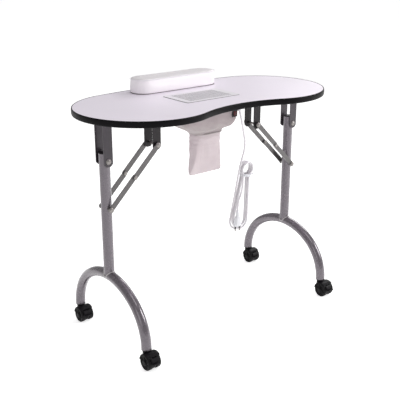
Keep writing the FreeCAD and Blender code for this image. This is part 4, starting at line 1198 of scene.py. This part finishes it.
def make_wheels(name):
    """Two moulded wheels: rounded tread, recessed disc, spokes and a hub."""
    x, y, z = middle(f"{name}_wheels")
    outer, _, radius = half_size(f"{name}_wheels")
    inner, spokes = 0.0055, 6
    width = outer - inner
    disc = [
        (0.0031, 0.0), (radius * 0.86, 0.0), (radius * 0.95, 0.0008), (radius * 0.99, 0.0024),
        (radius, 0.0045), (radius, width - 0.0045), (radius * 0.99, width - 0.0024),
        (radius * 0.95, width - 0.0008), (radius * 0.88, width), (radius * 0.82, width - 0.0002),
        (radius * 0.79, width - 0.0022), (radius * 0.40, width - 0.0030),
        (radius * 0.34, width - 0.0008), (radius * 0.26, width),
        (radius * 0.14, width + 0.0002), (0.0031, width)]
    hub = [(0.0, 0.0), (0.0086, 0.0), (0.0084, 0.0008), (0.0074, 0.0017), (0.0048, 0.0023),
           (0.0, 0.0025)]
    pieces = []
    for sign in SIGNS:
        for label, profile, start, turns in (("disc", disc, inner, 64),
                                             ("hub", hub, outer + 0.0001, 32)):
            pieces.append(lathe(label, profile, (x + sign * start, y, z), (sign, 0, 0), "wheel", turns))
        for cosine, sine in circle_steps(spokes, 0.3):
            out = Vector((0, cosine, sine)) * radius
            path = [Vector((x + sign * (outer - depth), y, z)) + out * reach
                    for depth, reach in ((0.0026, 0.36), (0.0020, 0.79))]
            pieces.append(sweep("spoke", path, 0.0015, "wheel", 8))
    put(join(f"{name}_wheel_pair", pieces), f"{name}_wheels", "wheel_plastic", f"{name}_wheels")


def make_swivel_ring(name):
    """Pressed collar round the stem between the hood and the arch end."""
    profile = [(0.0056, 0.0), (0.0105, 0.0), (0.0112, 0.0005), (0.0108, 0.0011), (0.0080, 0.0014),
               (0.0056, 0.0014)]
    place = (middle(f"{name}_hood").x, stem_y(name), 0.0536)
    put(lathe(f"{name}_swivel_ring", profile, place, UP, "zinc", 40), name, "bolt_zinc")


def make_pedal_ribs(name):
    """Grip ribs across the brake pedal."""
    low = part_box(f"{name}_brake")[0]
    x = middle(f"{name}_brake").x
    ribs = [sweep("rib", [(x + sign * 0.0095, low.y + 0.0016 + 0.0022 * number, low.z + 0.0041)
                          for sign in SIGNS], 0.0005, "caster", 8) for number in range(3)]
    put(join(f"{name}_pedal_ribs", ribs), f"{name}_brake", "caster_plastic")


def make_hood(name):
    """Barrel-shaped hood over the wheels, with its web, boss and swivel stem."""
    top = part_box(f"{name}_hood")[1].z
    x, half = middle(f"{name}_hood").x, half_size(f"{name}_hood").x
    _, y, z = middle(f"{name}_wheels")
    across, around = 26, 44
    corners = []
    for step in range(around + 1):
        angle = math.radians(5 + 123 * step / around)
        flare = 0.0006 * math.sin(math.pi * step / around)
        for column in range(across + 1):
            share = 2 * column / across - 1
            radius = 0.0254 + 0.0026 * (1 - abs(share) ** 4) ** 0.6 + flare
            corners.append((x + half * share, y + radius * math.cos(angle),
                            z + radius * math.sin(angle)))
    shell = make_mesh("shell", corners, sheet_faces(around, across), "caster")
    thicken(shell, 0.0020)
    bake_modifiers(shell)

    shoulder = z + 0.0295
    rise = top - shoulder
    stem = [(0.0, -0.010), (0.0055, -0.010), (0.0055, rise - 0.0006), (0.0049, rise), (0.0, rise)]
    boss = [(0.0, -0.0225), (0.0112, -0.0225), (0.0120, -0.0190), (0.0120, -0.0035),
            (0.0112, -0.0010), (0.0096, 0.0), (0.0, 0.0)]
    web = [(0.0, -0.0045), (0.0222, -0.0045), (0.0230, -0.0037), (0.0230, 0.0037),
           (0.0222, 0.0045), (0.0, 0.0045)]
    swivel = (x, stem_y(name), shoulder)
    pieces = [shell, lathe("stem", stem, swivel, UP, "zinc", 28),
              lathe("boss", boss, swivel, UP, "caster", 40),
              lathe("web", web, (x, y, z), (1, 0, 0), "caster", 56),
              slab("neck", (x - 0.0045, y + 0.002, z + 0.002),
                   (x + 0.0045, swivel[1] + 0.003, z + 0.0235), "caster", 0.001, 2)]
    put(join(f"{name}_fork", pieces), name, "caster_plastic", f"{name}_hood")


def make_caster(name):
    """Looks of one caster."""
    make_hood(name)
    dress("caster", f"{name}_brake", bevel=0.0009, segments=3)
    dress("wheel", f"{name}_axle", bevel=0.0005)
    make_wheels(name)
    make_swivel_ring(name)
    make_pedal_ribs(name)


# --- whole table ---

make_camera()
make_cord()
make_studio()
dress("laminate", "tabletop_board")
dress("grille", "grille_panel", bevel=0.0004)
make_edge_band()
make_grille_filter()
make_cushion()
make_housing()
make_collar()
make_bag()
make_switch()
make_fan()
for side_name in SIDES:
    make_leg_detail(side_name)
    for end_name in ENDS:
        make_caster(f"{side_name}_{end_name}_caster")
